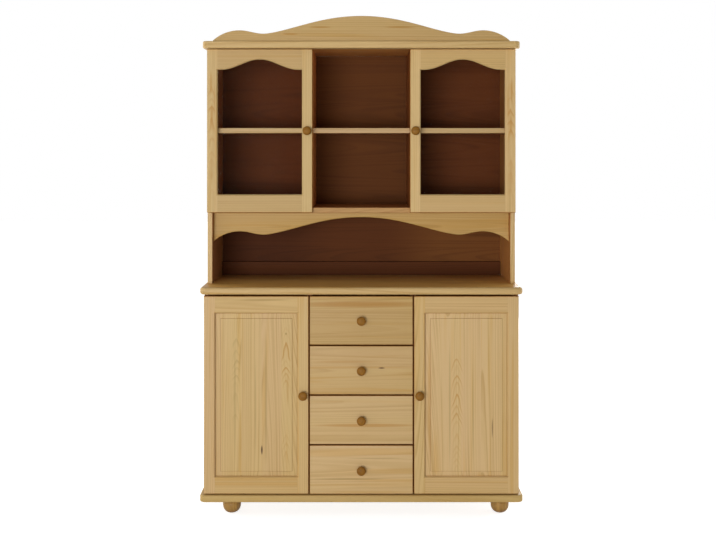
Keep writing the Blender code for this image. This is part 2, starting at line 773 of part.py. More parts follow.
def make_base_doors():
    """Two framed doors, each with a raised panel held in a groove."""
    near = PARTITION_MIDDLE + FRONT_GAP / 2
    groove_front = BASE_FACE_Y + PANEL_GROOVE_SETBACK
    groove_back = groove_front + PANEL_TONGUE + 2 * SEAT_GAP
    knob_height = (BASE_FRONT_LOW + BASE_FRONT_HIGH) / 2
    z_hole = (BASE_FRONT_LOW + BASE_RAIL, BASE_FRONT_HIGH - BASE_RAIL)
    z_groove = (z_hole[0] - PANEL_GROOVE_DEPTH, z_hole[1] + PANEL_GROOVE_DEPTH)
    for side_name, side in SIDES:
        place = (side * DOOR_OUTER, BASE_DOOR_BACK_Y - HINGE_AXIS_FORWARD, knob_height)
        pivot = pivot_at(f"base_door_{side_name}_pivot", place)
        outline = rectangle((side * near, side * DOOR_OUTER), (BASE_FRONT_LOW, BASE_FRONT_HIGH))
        frame = soft_fronted(outline, BASE_FACE_Y, BASE_DOOR_BACK_Y, FRONT_SOFTENING)
        x_hole = (side * (near + BASE_STILE), side * (DOOR_OUTER - BASE_STILE))
        x_groove = (x_hole[0] - side * PANEL_GROOVE_DEPTH, x_hole[1] + side * PANEL_GROOVE_DEPTH)
        knob_x = side * (near + BASE_STILE / 2)
        tools = [
            moulded_hole(rectangle(x_hole, z_hole), BASE_FACE_Y, BASE_DOOR_BACK_Y),
            box(x_groove, (groove_front, groove_back), z_groove),
            spigot_bore(knob_x, BASE_FACE_Y, knob_height),
            *cup_tools(side, BASE_DOOR_BACK_Y, BASE_FRONT_LOW, BASE_FRONT_HIGH),
        ]
        piece(f"base_door_frame_{side_name}", carve(frame, tools), "pine", pivot)
        panel = fielded_panel(
            (x_groove[0] + side * SEAT_GAP, x_groove[1] - side * SEAT_GAP),
            groove_back - SEAT_GAP,
            (z_groove[0] + SEAT_GAP, z_groove[1] - SEAT_GAP),
        )
        piece(f"base_door_panel_{side_name}", panel, "pine", pivot)
        make_knob(f"base_door_knob_{side_name}", knob_x, BASE_FACE_Y, knob_height, pivot)


def make_hutch_doors():
    """Two glazed doors with an arched opening, the pane held from behind by a bead."""
    near = PARTITION_NEAR + HUTCH_DOOR_REVEAL
    middle = (near + DOOR_OUTER) / 2
    half_hole = (DOOR_OUTER - near) / 2 - HUTCH_STILE
    hole_low = HUTCH_DOOR_LOW + HUTCH_BOTTOM_RAIL
    hole_high = HUTCH_DOOR_HIGH - HUTCH_TOP_RAIL
    pane_front = HUTCH_FACE_Y + GLASS_LIP + SEAT_GAP
    pane_back = pane_front + GLASS_THICK
    knob_height = (HUTCH_DOOR_LOW + HUTCH_DOOR_HIGH) / 2
    rebate_z = (hole_low - GLASS_REBATE, hole_high + GLASS_REBATE)
    for side_name, side in SIDES:
        place = (side * DOOR_OUTER, HUTCH_DOOR_BACK_Y - HINGE_AXIS_FORWARD, knob_height)
        pivot = pivot_at(f"hutch_door_{side_name}_pivot", place)
        outline = rectangle((side * near, side * DOOR_OUTER), (HUTCH_DOOR_LOW, HUTCH_DOOR_HIGH))
        frame = soft_fronted(outline, HUTCH_FACE_Y, HUTCH_DOOR_BACK_Y, FRONT_SOFTENING)
        hole = arch_outline(side * middle, half_hole, hole_low, hole_high - ARCH_RISE)
        rebate_half = half_hole + GLASS_REBATE
        rebate_x = (side * middle - rebate_half, side * middle + rebate_half)
        knob_x = side * (near + HUTCH_STILE / 2)
        tools = [
            moulded_hole(hole, HUTCH_FACE_Y, HUTCH_DOOR_BACK_Y),
            box(rebate_x, (HUTCH_FACE_Y + GLASS_LIP, HUTCH_DOOR_BACK_Y + CUT_OVERRUN), rebate_z),
            spigot_bore(knob_x, HUTCH_FACE_Y, knob_height),
            *cup_tools(side, HUTCH_DOOR_BACK_Y, HUTCH_DOOR_LOW, HUTCH_DOOR_HIGH),
        ]
        piece(f"hutch_door_frame_{side_name}", carve(frame, tools), "pine", pivot)
        seat_x = (rebate_x[0] + SEAT_GAP, rebate_x[1] - SEAT_GAP)
        seat_z = (rebate_z[0] + SEAT_GAP, rebate_z[1] - SEAT_GAP)
        pane = box(seat_x, (pane_front, pane_back), seat_z)
        piece(f"hutch_door_glass_{side_name}", pane, "glass", pivot)
        bead = box(seat_x, (pane_back + SEAT_GAP, HUTCH_DOOR_BACK_Y), seat_z)
        inside = box(
            (rebate_x[0] + GLASS_REBATE, rebate_x[1] - GLASS_REBATE),
            (pane_back - CUT_OVERRUN, HUTCH_DOOR_BACK_Y + CUT_OVERRUN),
            (rebate_z[0] + GLASS_REBATE, rebate_z[1] - GLASS_REBATE),
        )
        piece(f"glazing_bead_{side_name}", carve(bead, [inside]), "pine", pivot)
        make_knob(f"hutch_door_knob_{side_name}", knob_x, HUTCH_FACE_Y, knob_height, pivot)


def make_hutch_sides():
    """The two sides of the hutch, which stand on the worktop."""
    z_limits = (WORKTOP_TOP + SEAT_GAP, HUTCH_TOP - SEAT_GAP)
    shelf_front = HUTCH_FRONT_Y + SHELF_SETBACK - SEAT_GAP
    floor_front = HUTCH_FRONT_Y - CUT_OVERRUN
    for side_name, side in SIDES:
        shape = board((side * INNER_HALF, side * CASE_HALF), (HUTCH_FRONT_Y, REAR_Y), z_limits)
        dado_span = (side * (INNER_HALF - CUT_OVERRUN), side * (INNER_HALF + DADO_DEPTH))
        tools = [
            rebate_tool(side, HUTCH_BACK_FRONT_Y, z_limits),
            dado_tool(dado_span, shelf_front, HUTCH_SHELF_LOW, SHELF_THICK),
            dado_tool(dado_span, floor_front, BAY_FLOOR_BOTTOM, BAY_FLOOR_THICK),
        ]
        piece(f"hutch_side_{side_name}", carve(shape, tools), "pine")


def make_hutch_partitions():
    """The two partitions between the hutch's bays, housed for the shelves on both faces."""
    z_limits = (BAY_FLOOR_TOP + SEAT_GAP, HUTCH_TOP - SEAT_GAP)
    shelf_front = HUTCH_FRONT_Y + SHELF_SETBACK - SEAT_GAP
    for side_name, side in SIDES:
        shape = board(
            (side * PARTITION_NEAR, side * PARTITION_FAR),
            (HUTCH_FRONT_Y, HUTCH_BACK_FRONT_Y - SEAT_GAP),
            z_limits,
        )
        near_span = (side * (PARTITION_NEAR - CUT_OVERRUN), side * (PARTITION_NEAR + DADO_DEPTH))
        far_span = (side * (PARTITION_FAR - DADO_DEPTH), side * (PARTITION_FAR + CUT_OVERRUN))
        tools = [
            dado_tool(span, shelf_front, HUTCH_SHELF_LOW, SHELF_THICK) for span in (near_span, far_span)
        ]
        piece(f"hutch_partition_{side_name}", carve(shape, tools), "pine")


def make_hutch_shelves():
    """A shelf in each of the three bays."""
    y_limits = (HUTCH_FRONT_Y + SHELF_SETBACK, HUTCH_BACK_FRONT_Y - SEAT_GAP)
    z_limits = (HUTCH_SHELF_LOW, HUTCH_SHELF_LOW + SHELF_THICK)
    housed = DADO_DEPTH - SEAT_GAP
    centre_half = PARTITION_NEAR + housed
    piece("hutch_shelf_centre", board((-centre_half, centre_half), y_limits, z_limits), "pine")
    for side_name, side in SIDES:
        x_limits = (side * (PARTITION_FAR - housed), side * (INNER_HALF + housed))
        piece(f"hutch_shelf_{side_name}", board(x_limits, y_limits, z_limits), "pine")


def make_bay_floor():
    """The board under the three bays, housed in both sides."""
    half = INNER_HALF + DADO_DEPTH - SEAT_GAP
    shape = board(
        (-half, half),
        (HUTCH_FRONT_Y, HUTCH_BACK_FRONT_Y - SEAT_GAP),
        (BAY_FLOOR_BOTTOM, BAY_FLOOR_TOP),
    )
    piece("bay_floor", shape, "pine")


def make_hutch_back():
    """The back panel of the hutch, in rebates a little in from the rear edges."""
    half = INNER_HALF + BACK_REBATE - SEAT_GAP
    shape = box(
        (-half, half),
        (HUTCH_BACK_FRONT_Y, HUTCH_BACK_REAR_Y),
        (WORKTOP_TOP + SEAT_GAP, HUTCH_TOP - SEAT_GAP),
    )
    piece("hutch_back", shape, "back_panel")


def make_rear_rail():
    """The rail that ties the hutch sides together behind the niche."""
    half = INNER_HALF - SEAT_GAP
    y_back = HUTCH_BACK_FRONT_Y - SEAT_GAP
    z_low = WORKTOP_TOP + SEAT_GAP
    shape = board((-half, half), (y_back - REAR_RAIL_THICK, y_back), (z_low, z_low + REAR_RAIL_HEIGHT))
    piece("rear_rail", shape, "back_panel")


def make_pediment():
    """The serpentine board that crowns the cornice."""
    half = CASE_HALF - PEDIMENT_SIDE_INSET
    floor = CORNICE_TOP + SEAT_GAP
    curve = [(x, floor + PEDIMENT_STRIP + rise) for x, rise in serpentine_points(half)]
    outline = [(-half, floor), (half, floor), *reversed(curve)]
    y_front = CORNICE_FRONT_Y + PEDIMENT_SETBACK
    shape = soft_fronted(outline, y_front, y_front + SERPENTINE_THICK, SERPENTINE_SOFTENING / 2)
    piece("pediment", shape, "pine")


def make_apron():
    """The serpentine board that hangs under the bay floor, over the niche."""
    half = INNER_HALF - SEAT_GAP
    ceiling = BAY_FLOOR_BOTTOM - SEAT_GAP
    curve = [(x, ceiling - APRON_END_DEPTH + rise) for x, rise in serpentine_points(half)]
    outline = [*curve, (half, ceiling), (-half, ceiling)]
    y_front = HUTCH_FRONT_Y + APRON_RECESS
    shape = soft_fronted(outline, y_front, y_front + SERPENTINE_THICK, SERPENTINE_SOFTENING)
    piece("apron", shape, "pine")


def main():
    """Build every piece from the floor up."""
    clear_scene()
    make_feet()
    make_base_board()
    make_base_sides()
    make_base_partitions()
    make_base_shelves()
    make_base_back()
    make_drawers()
    make_base_doors()
    make_worktop()
    make_hutch_sides()
    make_hutch_back()
    make_rear_rail()
    make_bay_floor()
    make_apron()
    make_hutch_partitions()
    make_hutch_shelves()
    make_hutch_doors()
    make_hinges()
    make_cornice()
    make_pediment()


main()
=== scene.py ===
"""Looks of a pine dresser: woods for its boards, finer turned and moulded pieces, and a pale studio.

Metres throughout, +Z up, the dresser's front towards -Y.
"""

import functools
import math

import bmesh
import bpy
from mathutils import Matrix, Vector


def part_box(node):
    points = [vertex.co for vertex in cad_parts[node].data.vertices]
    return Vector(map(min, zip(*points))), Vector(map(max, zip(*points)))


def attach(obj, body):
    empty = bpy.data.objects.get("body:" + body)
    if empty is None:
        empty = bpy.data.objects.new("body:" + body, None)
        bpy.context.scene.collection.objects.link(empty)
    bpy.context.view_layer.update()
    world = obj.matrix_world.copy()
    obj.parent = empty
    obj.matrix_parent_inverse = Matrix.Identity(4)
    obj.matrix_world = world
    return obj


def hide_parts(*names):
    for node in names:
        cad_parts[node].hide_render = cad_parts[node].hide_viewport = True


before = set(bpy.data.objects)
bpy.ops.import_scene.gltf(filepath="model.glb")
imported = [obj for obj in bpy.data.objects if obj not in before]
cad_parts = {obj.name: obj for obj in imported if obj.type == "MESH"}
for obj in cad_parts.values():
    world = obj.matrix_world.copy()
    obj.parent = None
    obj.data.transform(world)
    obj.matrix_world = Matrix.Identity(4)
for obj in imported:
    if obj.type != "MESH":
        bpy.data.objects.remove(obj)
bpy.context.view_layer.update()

bl_info = {
    "name": "Pine dresser",
    "version": (1, 0, 0),
    "blender": (4, 5, 0),
    "location": "3D View > Sidebar > Dresser",
    "description": "Dresses the packed boards of a pine dresser and sets up a pale studio",
    "category": "Object",
}

SIDES = (("left", -1), ("right", 1))
CASES = ("base", "hutch")
DRAWERS = (1, 2, 3, 4)
AXES = {"x": 0, "y": 1, "z": 2}
REARWARD = (0, 1, 0)

# Tolerances, and a coordinate beyond every piece
MERGE = 0.00001
HAIR = 0.0001
SHARP_ANGLE = math.radians(32)
FAR = 2.0

# Sizes of the finer pieces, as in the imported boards
ARRIS = 0.0012
SLAB_CORNER = 0.020
SLAB_NOSE = 0.010
CURVE_RISE = 0.0937
HUMP_RISE = 0.0389
VALLEY_RISE = 0.026
HUMP_FROM_END = 0.1015
VALLEY_FROM_END = 0.193
PEDIMENT_STRIP = 0.0045
PEDIMENT_SOFTENING = 0.002
APRON_SOFTENING = 0.004
FRONT_SOFTENING = 0.003
STILES = {"base": 0.0415, "hutch": 0.040}
PANEL_TONGUE = 0.006
SPIGOT_RADIUS = 0.004
SPIGOT_LENGTH = 0.010
FOOT_RADIUS = 0.034
FOOT_BELLY = 0.034
FOOT_UPPER_SWEEP = 0.024
BOX_END_THICK = 0.012
CUP_FROM_EDGE = 0.018
WING_THICK = 0.0025
WING_FROM_ARM_END = 0.027

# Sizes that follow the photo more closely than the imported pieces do, inside the same boxes: a later
# swell, a foot that is fuller near the floor, and a tighter nose on the cornice and the base board
SWELL_POWER = 0.77
FOOT_LOWER_SWEEP = 0.035
FOOT_FULLNESS = 0.8
TIGHT_NOSE = 0.005

# Steps from a panel's tongue up to its field, as (width, rise)
PANEL_STEPS = (
    (0.0092, 0), (0.0185, 0.0045), (0.0002, 0.0003), (0.0002, 0.0006), (0.0001, 0.0003), (0.0003, 0.0003),
)

# Turned outline of a knob, as shares of its radius and of how far it stands out
KNOB_PROFILE = (
    (0.0, 1.0), (0.22, 0.997), (0.42, 0.985), (0.60, 0.952), (0.76, 0.90), (0.87, 0.842), (0.95, 0.77),
    (0.99, 0.71), (1.0, 0.66), (0.98, 0.605), (0.92, 0.545), (0.82, 0.49), (0.71, 0.445), (0.61, 0.395),
    (0.55, 0.34), (0.52, 0.27), (0.53, 0.19), (0.57, 0.13), (0.64, 0.10), (0.71, 0.095), (0.735, 0.06),
    (0.72, 0.02), (0.70, 0.012),
)

# How far in front of the wood a knob's spigot starts
SPIGOT_START = 0.0003

# Half outline of a hinge cup sunk in the back of a door, as (radius, depth) from its bottom
CUP_PROFILE = (
    (0, 0.0102), (0.0122, 0.0102), (0.0127, 0.0097), (0.0127, 0.0001), (0.0150, 0.0001), (0.0150, -0.0002),
    (0.0125, -0.0002), (0.0120, 0.0003), (0.0119, 0.0092), (0.0112, 0.0098), (0, 0.0098),
)

# Small metal parts, which only the scene has
CUP_WING_HALF = 0.006
CUP_WING_RISE = 0.025
CUP_WING_ROUNDING = 0.0054
CUP_SCREW_RISE = 0.0195
CUP_SCREW_RADIUS = 0.0030
PLATE_SCREW_RISE = 0.0148
PLATE_SCREW_RADIUS = 0.0034
BOX_SCREW_PLACE = 0.09
BOX_SCREW_RADIUS = 0.0040
SCREW_THICK = 0.0008
CROSS_DEPTH = 0.0006
PIN_SPACES = 9
PIN_INSET = 0.006
PIN_RADIUS = 0.0026
PIN_TOP_RADIUS = 0.0021
PIN_THICK = 0.0006

# Form of a screw's head: its top and the margin round its cross, as shares of its radius, and the waist
# and the bottom of the cross, as shares of the cross
SCREW_TOP = 0.82
CROSS_MARGIN = 0.25
CROSS_WAIST = 0.35
CROSS_BOTTOM = 0.6

# How finely round forms are made
CORNER_SEGMENTS = 14
NOSE_SEGMENTS = 8
CURVE_SEGMENTS = 4
FRONT_SEGMENTS = 5
ARRIS_SEGMENTS = 2
WING_SEGMENTS = 6
CURVE_STEPS = 160
FOOT_STEPS = 16
FOOT_ROUND = 48
KNOB_ROUND = 40
CUP_ROUND = 40
SCREW_ROUND = 16
PIN_ROUND = 10

# Heart of the tree that a strip was sawn from: its scales along and from strip to strip, how far it
# wanders, the spreads of its offset and its tilt, the shift of its tilt (spread, least), and how much the
# depth of a point counts
HEART_SCALES = (1.3, 3.7)
HEART_WANDER = 0.024
HEART_OFFSET = 0.10
HEART_TILT = 0.16
HEART_PLACES = (1.8, -1.4)
DEPTH_SHARE = 0.3

# Rest of the grain. Three scales are repeats a metre across, in depth and along, the shift of a board is
# across and along from strip to strip, and the sizes of knots are (spread, least).
BOARD_SHIFT = (0.37, 1.9)
KNOT_SCALES = (7.0, 0.0, 2.3)
KNOT_RARITY = 0.93
KNOT_SIZES = (0.035, 0.015)
KNOT_BULGE = 0.006
RIPPLE_SCALES = (60.0, 60.0, 4.0)
RIPPLE = 0.0020
UNEVEN_SCALE = 60.0
UNEVENNESS = 2.2
FADE_SCALES = (30.0, 30.0, 1.6)
GROUP_SCALE = 130.0
PAIR_SCALE = 260.0
PAIR_SEED = 31.0
STREAK_SCALES = (46.0, 46.0, 1.3)
TONE_SCALES = (14.0, 14.0, 0.9)
FIBRE_SCALES = (620.0, 620.0, 12.0)
RAIL_SCALES = (1.0, 1.0, 0.3)

# Shape of the stacked arches in a plain-sawn board
ARCH_SLOPE = 2.6
ARCH_BLUNTNESS = 0.03
ARCH_SCALES = (9.0, 1.0, 6.5)
ARCH_DRIFT = 4.5
ARCH_FADE = 0.04

# How strongly the grain and the worn edges change the colour of the wood, and how rough it is. The
# lighter worn edges are also a painted highlight.
STREAK_SHARE = 0.50
LATE_SHARE = 0.50
FIBRE_SHARE = 0.22
WORN_HIGHLIGHT_SHARE = 0.7
FIBRE_ROUGHNESS = 0.22
WORN_ROUGHNESS = 0.06
LATE_SMOOTHNESS = 0.08

# Surface of the lacquered wood. Its arrises are lighter, partly as worn lacquer and partly as a painted
# highlight.
WORN_HIGHLIGHT_RADIUS = 0.0022
WORN_HIGHLIGHT_COLOUR = (1.16, 1.14, 1.12)
WOOD_BUMP = {"Strength": 0.35, "Distance": 0.0004}

# Surface of the steel and of the glass
BRUSHED_SCALES = (2200.0, 300.0, 300.0)
SMEARED_SCALES = (60.0, 60.0, 60.0)
SMEAR_DARKNESS = 0.72
STEEL_BUMP = {"Strength": 0.15, "Distance": 0.0002}
PANE_COLOUR = (0.975, 0.980, 0.975, 1)
PANE_SHEEN = (0.55, 0.004)
PANE_SHEEN_POWER = 4.0

# Usual widths of the strips in some boards, and the seeds of the door frames' grain
STAINED_STRIP = 0.12
DRAWER_STRIP = 0.11
FRAME_STRIP = 0.3
DOOR_SEEDS = {"base": 65, "hutch": 66}

# Woods, as the settings for the two tones of springwood, the streaks, the year lines and the knots
PINE = ("pine_straw", "pine_blush", "pine_honey", "pine_late", "pine_knot")
STAINED = ("stain_light", "stain_warm", "stain_warm", "stain_dark", "stain_dark")
KNOB = ("knob_wood", "knob_wood", "knob_wood", "knob_dark", "knob_dark")
FOOT = ("foot_wood", "foot_wood", "pine_honey", "foot_dark", "foot_dark")

# Colours of single streaks and knots
HONEY = (0.50, 0.25, 0.055)
OLIVE = (0.36, 0.235, 0.07)
BROWN = (0.10, 0.045, 0.02)

# Single streaks and knots on a front, as (colour, strength, x, z, half width, half height)
PANEL_MARKS = {
    "left": (
        (BROWN, 1.0, -0.3710, 0.245, 0.0042, 0.021), (OLIVE, 0.45, -0.3560, 0.440, 0.0060, 0.30),
        (OLIVE, 0.35, -0.4720, 0.420, 0.0055, 0.27), (OLIVE, 0.70, -0.2810, 0.679, 0.0050, 0.006),
        (HONEY, 0.40, -0.2745, 0.470, 0.0060, 0.08), (OLIVE, 0.40, -0.3950, 0.400, 0.0040, 0.22),
    ),
    "right": (
        (BROWN, 0.60, 0.4890, 0.327, 0.0030, 0.044), (HONEY, 0.40, 0.2540, 0.440, 0.0070, 0.30),
        (OLIVE, 0.45, 0.3300, 0.420, 0.0045, 0.28), (OLIVE, 0.40, 0.4170, 0.380, 0.0040, 0.22),
    ),
}
FRAME_MARKS = {
    "base_door_frame_left": ((OLIVE, 0.50, -0.370, 0.8055, 0.120, 0.0045),),
    "hutch_door_frame_left": (
        (HONEY, 0.65, -0.5720, 1.620, 0.0060, 0.055), (HONEY, 0.65, -0.5690, 1.500, 0.0065, 0.050),
        (HONEY, 0.50, -0.5580, 1.560, 0.0040, 0.070), (HONEY, 0.40, -0.5700, 1.300, 0.0060, 0.090),
    ),
    "hutch_door_frame_right": (
        (HONEY, 0.65, 0.5720, 1.590, 0.0060, 0.060), (HONEY, 0.65, 0.5690, 1.460, 0.0065, 0.050),
        (HONEY, 0.50, 0.5580, 1.540, 0.0040, 0.070), (HONEY, 0.40, 0.5700, 1.270, 0.0060, 0.080),
    ),
}
DRAWER_MARKS = (
    ((HONEY, 0.75, 0.000, 0.7890, 0.300, 0.0150),),
    ((BROWN, 1.0, 0.0757, 0.5520, 0.0150, 0.0034), (HONEY, 0.40, -0.060, 0.5750, 0.160, 0.0050)),
    ((HONEY, 0.65, 0.020, 0.3380, 0.240, 0.0085),),
    ((OLIVE, 0.55, -0.050, 0.1380, 0.160, 0.0045), (OLIVE, 0.35, 0.060, 0.2150, 0.120, 0.0035)),
)
PEDIMENT_MARKS = (
    (HONEY, 0.80, -0.271, 1.8067, 0.040, 0.0042), (HONEY, 0.75, -0.157, 1.8330, 0.052, 0.0040),
    (HONEY, 0.75, 0.1475, 1.8330, 0.068, 0.0040),
)

# Stacked arches on a front, as (colour, strength, x, low z, high z, half width, spacing)
PANEL_ARCHES = {
    "left": (
        (HONEY, 0.90, -0.2810, 0.500, 0.690, 0.020, 0.036),
        (OLIVE, 0.35, -0.4670, 0.360, 0.680, 0.018, 0.045),
        (HONEY, 0.45, -0.2810, 0.200, 0.300, 0.018, 0.036),
    ),
    "right": (
        (HONEY, 0.75, 0.3570, 0.290, 0.600, 0.025, 0.034), (HONEY, 0.35, 0.3570, 0.170, 0.290, 0.018, 0.034),
    ),
}
FRAME_ARCHES = {
    "hutch_door_frame_left": (
        (HONEY, 1.0, -0.5690, 1.430, 1.620, 0.016, 0.050), (HONEY, 0.55, -0.5690, 1.200, 1.430, 0.014, 0.060),
    ),
    "hutch_door_frame_right": (
        (HONEY, 1.0, 0.5690, 1.400, 1.600, 0.016, 0.050), (HONEY, 0.55, 0.5690, 1.180, 1.400, 0.014, 0.060),
    ),
}

# Shades multiply the colour of a whole board. Those of the fielded panels and the hutch doors are painted
# light: the right ones are lighter than the left ones, to even out lamps that light the left side more.
PLAIN = (1.0, 1.0, 1.0)
PANEL_PAINTED_LIGHT = {"left": (0.99, 1.0, 1.0), "right": (1.04, 1.06, 1.09)}
FRAME_PAINTED_LIGHT = {
    "base": {"left": PLAIN, "right": PLAIN},
    "hutch": {"left": (0.975, 0.985, 0.99), "right": (1.05, 1.06, 1.06)},
}
DRAWER_SHADES = ((0.82, 0.79, 0.67), (0.91, 0.89, 0.86), (0.96, 0.96, 0.99), (1.00, 1.01, 1.07))
SLAB_SHADES = {"worktop": (0.96, 0.94, 0.92), "base_board": (0.87, 0.86, 0.72), "cornice": (0.98, 0.97, 0.93)}
SHELF_SHADES = {"left": (1.0, 0.98, 1.02), "centre": (0.87, 0.84, 0.90), "right": (1.0, 0.98, 1.02)}
BAY_FLOOR_SHADE = (0.77, 0.62, 0.49)
PEDIMENT_SHADE = (0.89, 0.88, 0.76)
APRON_SHADE = (0.83, 0.76, 0.54)
RAIL_SHADE = (0.76, 0.76, 0.82)

# How wide the painted shade is along the edges of fronts and along a panel's steps, and how far from the
# middle the edge of a front still faces another front
RIM = 0.0016
INNER_FRONTS = 0.5

# Tints multiply the colour of a part of a board. These are for painted shade on the edges beside gaps and
# along the steps of the panels, for the dark joints in doors, for the rails of door frames, and for a
# painted contact shadow at the bottom of the feet.
GAP_SHADE_TINT = (0.56, 0.33, 0.12)
STEP_SHADE_TINT = (0.66, 0.55, 0.42)
JOINT_TINT = (0.62, 0.50, 0.36)
RAIL_TINTS = {"base": (0.97, 0.95, 0.93), "hutch": (0.89, 0.87, 0.78)}
# A painted contact shadow at the bottom of the feet: its colour, and the height and softness of its edge
FOOT_SHADOW_TINT = (0.50, 0.42, 0.32)
FOOT_SHADOW_HEIGHT = 0.010
FOOT_SHADOW_SOFTNESS = 0.020

# These make up for light and shade in the photo that plain lamps don't give: in the gaps beside the base's
# fronts, in the bays and the niche, under the cornice and on the worktop, with the places where they begin
SHADOW_GAP_TINT = (0.24, 0.11, 0.03)
WALL_TINTS = {"left": (0.85, 0.59, 0.48), "right": (0.78, 0.49, 0.31)}
PARTITION_TINTS = {"left": (1.34, 0.78, 0.49), "right": (0.30, 0.13, 0.06)}
SHELF_TINT = (0.50, 0.30, 0.16)
BAY_FLOOR_TINT = (0.58, 0.36, 0.26)
CORNICE_TINT = (0.95, 0.61, 0.38)
WORKTOP_TINT = (1.32, 1.12, 0.74)
WORKTOP_REAR_TINT = (0.35, 0.25, 0.26)
WORKTOP_REAR = 0.12
WORKTOP_REAR_SOFTNESS = 0.22
SOFT_EDGE = 0.01
NICHE_TINT = (0.82, 0.84, 0.88)
NICHE_SIDE_TINTS = {"left": (0.72, 0.70, 0.82), "right": (1.55, 1.78, 1.54)}
NICHE_MIDDLE = 0.22
NICHE_SOFTNESS = 0.14
BAY_TINTS = {"left": (0.86, 0.75, 0.71), "centre": (0.94, 1.03, 0.97), "right": (1.04, 0.97, 0.95)}
BAY_EDGE = 0.19

# Lamps as (name, degrees round from the front, height, distance, width, depth, brightness)
LAMPS = (
    ("front_lamp", -18, 1.02, 8.6, 3.6, 3.0, 0.385),
    ("low_lamp", -6, 0.40, 6.4, 4.2, 1.2, 0.255),
    ("side_lamp", -65, 1.80, 6.5, 3.2, 3.0, 0.10),
    ("high_lamp", -20, 3.90, 2.2, 2.0, 2.0, 0.07),
    ("left_fill", -106, 1.40, 3.8, 2.0, 2.0, 0.40),
    ("right_fill", 106, 1.40, 3.8, 2.0, 2.0, 0.50),
    ("rear_lamp", 172, 1.60, 4.2, 2.4, 2.4, 0.52),
)
LAMP_TARGET = Vector((0, 0, 0.95))

# The floor's own glow, which is weaker near the dresser so that its shadow shows: how weak, and the
# distances between which it rises to full strength
FLOOR_COLOUR = (0.80, 0.80, 0.80, 1)
FLOOR_GLOW = 0.81
FLOOR_GLOW_FROM = 0.7
FLOOR_GLOW_TO = 4.5
WHITE = (1, 1, 1, 1)

# The height of the sensor sets the picture. Its width is read only when the camera is moved round the
# dresser, and a narrow one keeps the whole dresser in view in spite of the shift.
LENS = 50.0
SENSOR_HEIGHT = 27.151
TURNING_WIDTH = 0.82
SHIFT_X = -0.0061
SHIFT_Y = -0.2222


def colour_setting(name, description, default):
    """A colour of the finish that a user can change."""
    return bpy.props.FloatVectorProperty(
        name=name, description=description, default=default, size=3, subtype="COLOR", min=0, max=1
    )


def length_setting(name, description, default):
    """A length in metres that a user can change."""
    return bpy.props.FloatProperty(
        name=name, description=description, default=default, min=0, unit="LENGTH", precision=4
    )


class DresserFinish(bpy.types.PropertyGroup):
    """Colours and grain of the woods, the glass and the steel"""

    pine_straw: colour_setting("Straw pine", "Yellowish springwood of the pine", (0.640, 0.448, 0.190))
    pine_blush: colour_setting("Blush pine", "Pinkish springwood of the pine", (0.636, 0.424, 0.208))
    pine_honey: colour_setting("Honey streak", "Resin-rich streaks in the pine", (0.600, 0.350, 0.095))
    pine_late: colour_setting("Latewood", "Darker lines of the year rings", (0.425, 0.238, 0.056))
    pine_knot: colour_setting("Knot", "Small knots in the pine", (0.190, 0.085, 0.030))
    stain_light: colour_setting("Stain, light", "Lighter grain of the brown backs", (0.132, 0.0410, 0.0125))
    stain_warm: colour_setting("Stain, warm", "Warmer grain of the brown backs", (0.150, 0.0465, 0.0135))
    stain_dark: colour_setting("Stain, dark", "Dark lines of the brown backs", (0.079, 0.023, 0.007))
    knob_wood: colour_setting("Knob", "Face of the turned knobs", (0.276, 0.122, 0.017))
    knob_dark: colour_setting("Knob, dark", "Dark grain of the turned knobs", (0.150, 0.062, 0.011))
    foot_wood: colour_setting("Foot", "Face of the turned feet", (0.390, 0.222, 0.062))
    foot_dark: colour_setting("Foot, dark", "Dark grain of the turned feet", (0.240, 0.115, 0.030))
    steel: colour_setting("Steel", "Nickel-plated steel of the hinges and screws", (0.620, 0.615, 0.600))
    glass: colour_setting("Glass", "Faint green of the panes", (0.080, 0.105, 0.095))
    ring_spacing: length_setting("Ring spacing", "Usual distance between year rings", 0.0062)
    strip_width: length_setting("Strip width", "Width of the strips in a glued board", 0.0745)


class DresserStage(bpy.types.PropertyGroup):
    """Camera, lamps and floor of the studio"""

    eye_height: length_setting("Eye height", "Height of the camera over the floor", 1.3646)
    eye_distance: length_setting("Eye distance", "Distance of the camera from the dresser's middle", 3.890)
    floor_size: length_setting("Floor size", "Length of a side of the floor", 30.0)
    brightness: bpy.props.FloatProperty(
        name="Brightness", default=1.0, min=0,
        description="Strength of all the lamps; at 1 a colour facing the front renders as written",
    )
    sky_strength: bpy.props.FloatProperty(
        name="Sky", description="Strength of the even light from all round", default=0.13, min=0
    )


def add_node(tree, kind, inputs=None, **settings):
    """A new node with its settings, and its sockets linked or set."""
    node = tree.nodes.new(kind)
    for name, value in settings.items():
        setattr(node, name, value)
    for key, value in (inputs or {}).items():
        if isinstance(value, bpy.types.NodeSocket):
            tree.links.new(value, node.inputs[key])
        else:
            node.inputs[key].default_value = value
    return node


def tree_of(*values):
    """The node tree that the first socket among some values belongs to."""
    return next(value.id_data for value in values if isinstance(value, bpy.types.NodeSocket))


def maths(operation, *values):
    """The result of one arithmetic step on sockets and numbers."""
    node = add_node(tree_of(*values), "ShaderNodeMath", dict(enumerate(values)), operation=operation)
    return node.outputs[0]


def plus(*values):
    """The sum of sockets and numbers, added from the left."""
    return functools.reduce(functools.partial(maths, "ADD"), values)


def times(*values):
    """The product of sockets and numbers, multiplied from the left."""
    return functools.reduce(functools.partial(maths, "MULTIPLY"), values)


def minus(first, second):
    """The first value less the second."""
    return maths("SUBTRACT", first, second)


def over(first, second):
    """The first value divided by the second."""
    return maths("DIVIDE", first, second)


def scaled(value, factor, start):
    """A value times a factor, added to a start."""
    return maths("MULTIPLY_ADD", value, factor, start)


